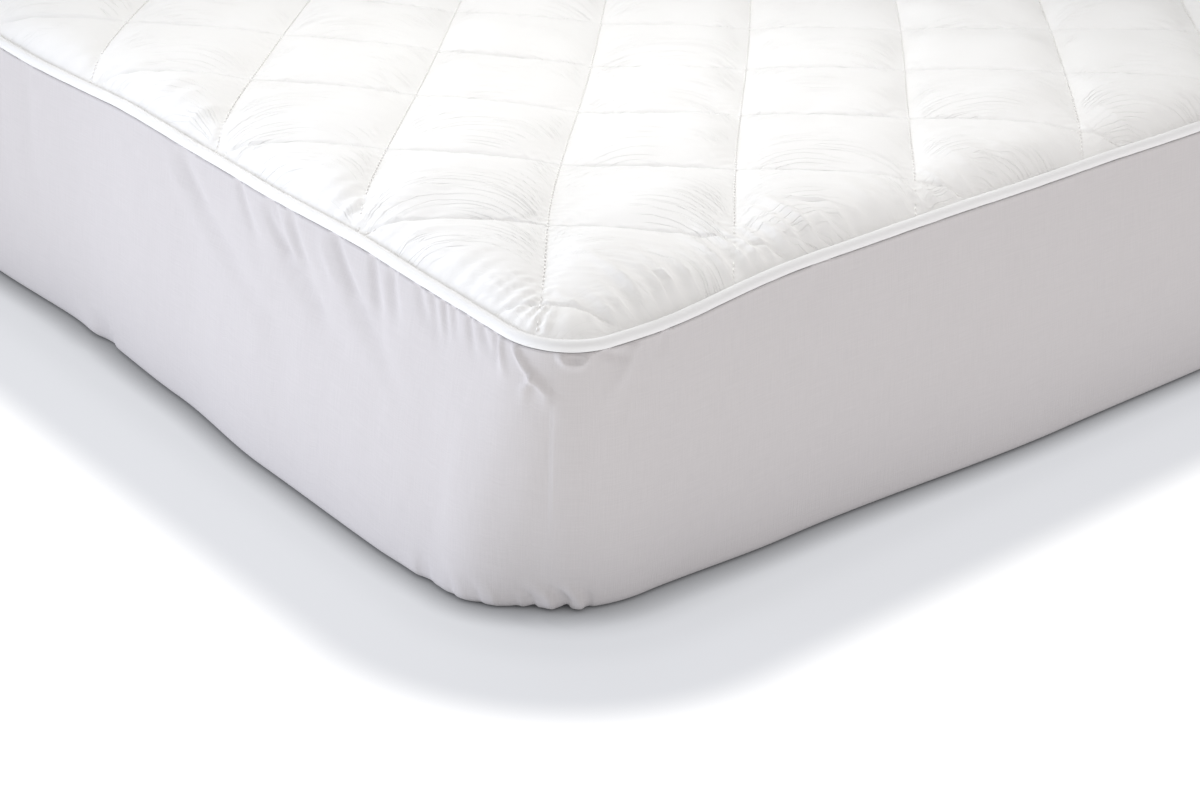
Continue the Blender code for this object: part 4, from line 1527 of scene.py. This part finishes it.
def build_lights(strength):
    """Soft square lights round the bed."""
    for name, place, aim, size, spread, power, red, green, blue in LIGHTS:
        data = bpy.data.lights.new(name, "AREA")
        data.size = size
        data.spread = math.radians(spread)
        data.energy = power * strength
        data.color = (red, green, blue)
        lamp = link(bpy.data.objects.new(name, data))
        lamp.location = place
        lamp.rotation_euler = (Vector(aim) - Vector(place)).to_track_quat("-Z", "Y").to_euler()


def build_floor(settings):
    """Flat floor round the bed."""
    half = FLOOR_SIZE / 2
    corners = np.array(((-half, -half, 0), (half, -half, 0), (half, half, 0), (-half, half, 0)), float)
    floor = mesh_object("floor", corners, np.array(((0, 1, 2, 3),)), floor_material(settings))


def build_world(strength):
    """Even soft light from all round."""
    world = bpy.data.worlds.new("soft surroundings")
    world.use_nodes = True
    back = world.node_tree.nodes["Background"]
    back.inputs["Color"].default_value = (1.0, 1.0, 1.0, 1.0)
    back.inputs["Strength"].default_value = strength
    bpy.context.scene.world = world


# Settings that a user would change

class QuiltSettings(bpy.types.PropertyGroup):
    """Sizes and colours of the quilted panel."""
    slack_along: bpy.props.FloatProperty(
        name="Slack along", description="Extra cloth of a cell along the first seams",
        default=0.035, min=0.0, max=0.2
    )
    slack_across: bpy.props.FloatProperty(
        name="Slack across", description="Extra cloth of a cell along the second seams",
        default=0.055, min=0.0, max=0.2
    )
    stiffness: bpy.props.FloatProperty(
        name="Stiffness", description="How far the cloth resists bending", default=0.25, min=0.0, max=1.0
    )
    cotton_colour: bpy.props.FloatVectorProperty(
        name="Cotton", description="Colour of the quilted cotton",
        default=(0.935, 0.93, 0.918), subtype="COLOR"
    )
    thread_colour: bpy.props.FloatVectorProperty(
        name="Thread", description="Colour of the sewing thread", default=(1.0, 0.992, 0.975), subtype="COLOR"
    )
    stitch_length: bpy.props.FloatProperty(
        name="Stitch length", description="Length of one stitch", default=0.0050, unit="LENGTH"
    )
    stitch_pitch: bpy.props.FloatProperty(
        name="Stitch pitch", description="Distance from stitch to stitch", default=0.0066, unit="LENGTH"
    )


class PipingSettings(bpy.types.PropertyGroup):
    """Colour of the piping."""
    cotton_colour: bpy.props.FloatVectorProperty(
        name="Cotton", description="Colour of the piping", default=(0.90, 0.90, 0.90), subtype="COLOR"
    )


class SkirtSettings(bpy.types.PropertyGroup):
    """Sizes and colour of the skirt; the colour is greyer than the quilted cotton, painted shade of its
    sides.
    """
    # Painted shade: the skirt is set greyer than the same white cotton of the panel, for the shade on its
    # sides
    cotton_colour: bpy.props.FloatVectorProperty(
        name="Cotton", description="Colour of the skirt", default=(0.66, 0.635, 0.64), subtype="COLOR"
    )
    cloth_thickness: bpy.props.FloatProperty(
        name="Thickness", description="Thickness of the skirt cloth", default=0.0012, unit="LENGTH"
    )


class MattressSettings(bpy.types.PropertyGroup):
    """Colour of the mattress."""
    ticking_colour: bpy.props.FloatVectorProperty(
        name="Ticking", description="Colour of the mattress ticking",
        default=(0.80, 0.79, 0.76), subtype="COLOR"
    )


class StageSettings(bpy.types.PropertyGroup):
    """Floor and light."""
    # Grey of the painted shade beside the bed; a share of it is also the floor's own colour
    floor_shade_colour: bpy.props.FloatVectorProperty(
        name="Floor", description="Colour of the floor beside the bed",
        default=(0.74, 0.75, 0.78), subtype="COLOR"
    )
    floor_far_colour: bpy.props.FloatVectorProperty(
        name="Far floor", description="Colour of the floor away from the bed",
        default=(1.25, 1.25, 1.25), subtype="COLOR", max=2.0
    )
    surroundings: bpy.props.FloatProperty(
        name="Surroundings", description="Strength of the light from all round", default=0.56, min=0.0
    )
    light_strength: bpy.props.FloatProperty(
        name="Lights", description="Strength of the lights, 1 as in the photo", default=1.0, min=0.0
    )
    floor_glow: bpy.props.FloatProperty(
        name="Floor glow", description="Share of the floor's tone that shadows leave alone",
        default=0.84, min=0.0
    )


class PROTECTOR_OT_panel(bpy.types.Operator):
    """Make the quilted top panel"""
    bl_idname = "protector.panel"
    bl_label = "Quilted panel"

    def execute(self, context):
        build_panel(context.scene.protector_quilt)
        return {"FINISHED"}


class PROTECTOR_OT_stitches(bpy.types.Operator):
    """Make the stitches of the quilting"""
    bl_idname = "protector.stitches"
    bl_label = "Stitches"

    def execute(self, context):
        build_stitches(context.scene.protector_quilt)
        return {"FINISHED"}


class PROTECTOR_OT_piping(bpy.types.Operator):
    """Make the piping round the panel"""
    bl_idname = "protector.piping"
    bl_label = "Piping"

    def execute(self, context):
        build_piping(context.scene.protector_piping)
        return {"FINISHED"}


class PROTECTOR_OT_skirt(bpy.types.Operator):
    """Make the skirt that falls down the sides"""
    bl_idname = "protector.skirt"
    bl_label = "Skirt"

    def execute(self, context):
        build_skirt(context.scene.protector_skirt)
        return {"FINISHED"}


class PROTECTOR_OT_mattress(bpy.types.Operator):
    """Cover the mattress with ticking"""
    bl_idname = "protector.mattress"
    bl_label = "Mattress ticking"

    def execute(self, context):
        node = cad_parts["mattress"]
        node.data.materials.clear()
        node.data.materials.append(ticking_material(context.scene.protector_mattress))
        return {"FINISHED"}


class PROTECTOR_OT_stage(bpy.types.Operator):
    """Make the floor, the light and the camera"""
    bl_idname = "protector.stage"
    bl_label = "Stage"

    def execute(self, context):
        settings = context.scene.protector_stage
        build_floor(settings)
        build_lights(settings.light_strength)
        build_world(settings.surroundings)
        build_camera()
        context.scene.view_settings.view_transform = "Standard"
        return {"FINISHED"}


OPERATORS = (
    PROTECTOR_OT_panel,
    PROTECTOR_OT_stitches,
    PROTECTOR_OT_piping,
    PROTECTOR_OT_skirt,
    PROTECTOR_OT_mattress,
    PROTECTOR_OT_stage,
)
SETTINGS = {
    "protector_quilt": QuiltSettings,
    "protector_piping": PipingSettings,
    "protector_skirt": SkirtSettings,
    "protector_mattress": MattressSettings,
    "protector_stage": StageSettings,
}


class PROTECTOR_PT_sidebar(bpy.types.Panel):
    """Settings and operators of the mattress protector"""
    bl_label = "Mattress protector"
    bl_idname = "PROTECTOR_PT_sidebar"
    bl_space_type = "VIEW_3D"
    bl_region_type = "UI"
    bl_category = "Protector"

    def draw(self, context):
        for name in SETTINGS:
            settings = getattr(context.scene, name)
            column = self.layout.column(heading=name)
            for field in settings.__annotations__:
                column.prop(settings, field)
        for operator in OPERATORS:
            self.layout.operator(operator.bl_idname)


def register():
    for kind in (*SETTINGS.values(), *OPERATORS, PROTECTOR_PT_sidebar):
        bpy.utils.register_class(kind)
    for name, kind in SETTINGS.items():
        setattr(bpy.types.Scene, name, bpy.props.PointerProperty(type=kind))


def unregister():
    for name in SETTINGS:
        delattr(bpy.types.Scene, name)
    for kind in reversed((*SETTINGS.values(), *OPERATORS, PROTECTOR_PT_sidebar)):
        bpy.utils.unregister_class(kind)


def main():
    register()
    bpy.ops.protector.panel()
    bpy.ops.protector.stitches()
    bpy.ops.protector.piping()
    bpy.ops.protector.skirt()
    bpy.ops.protector.mattress()
    bpy.ops.protector.stage()


if __name__ == "__main__":
    main()
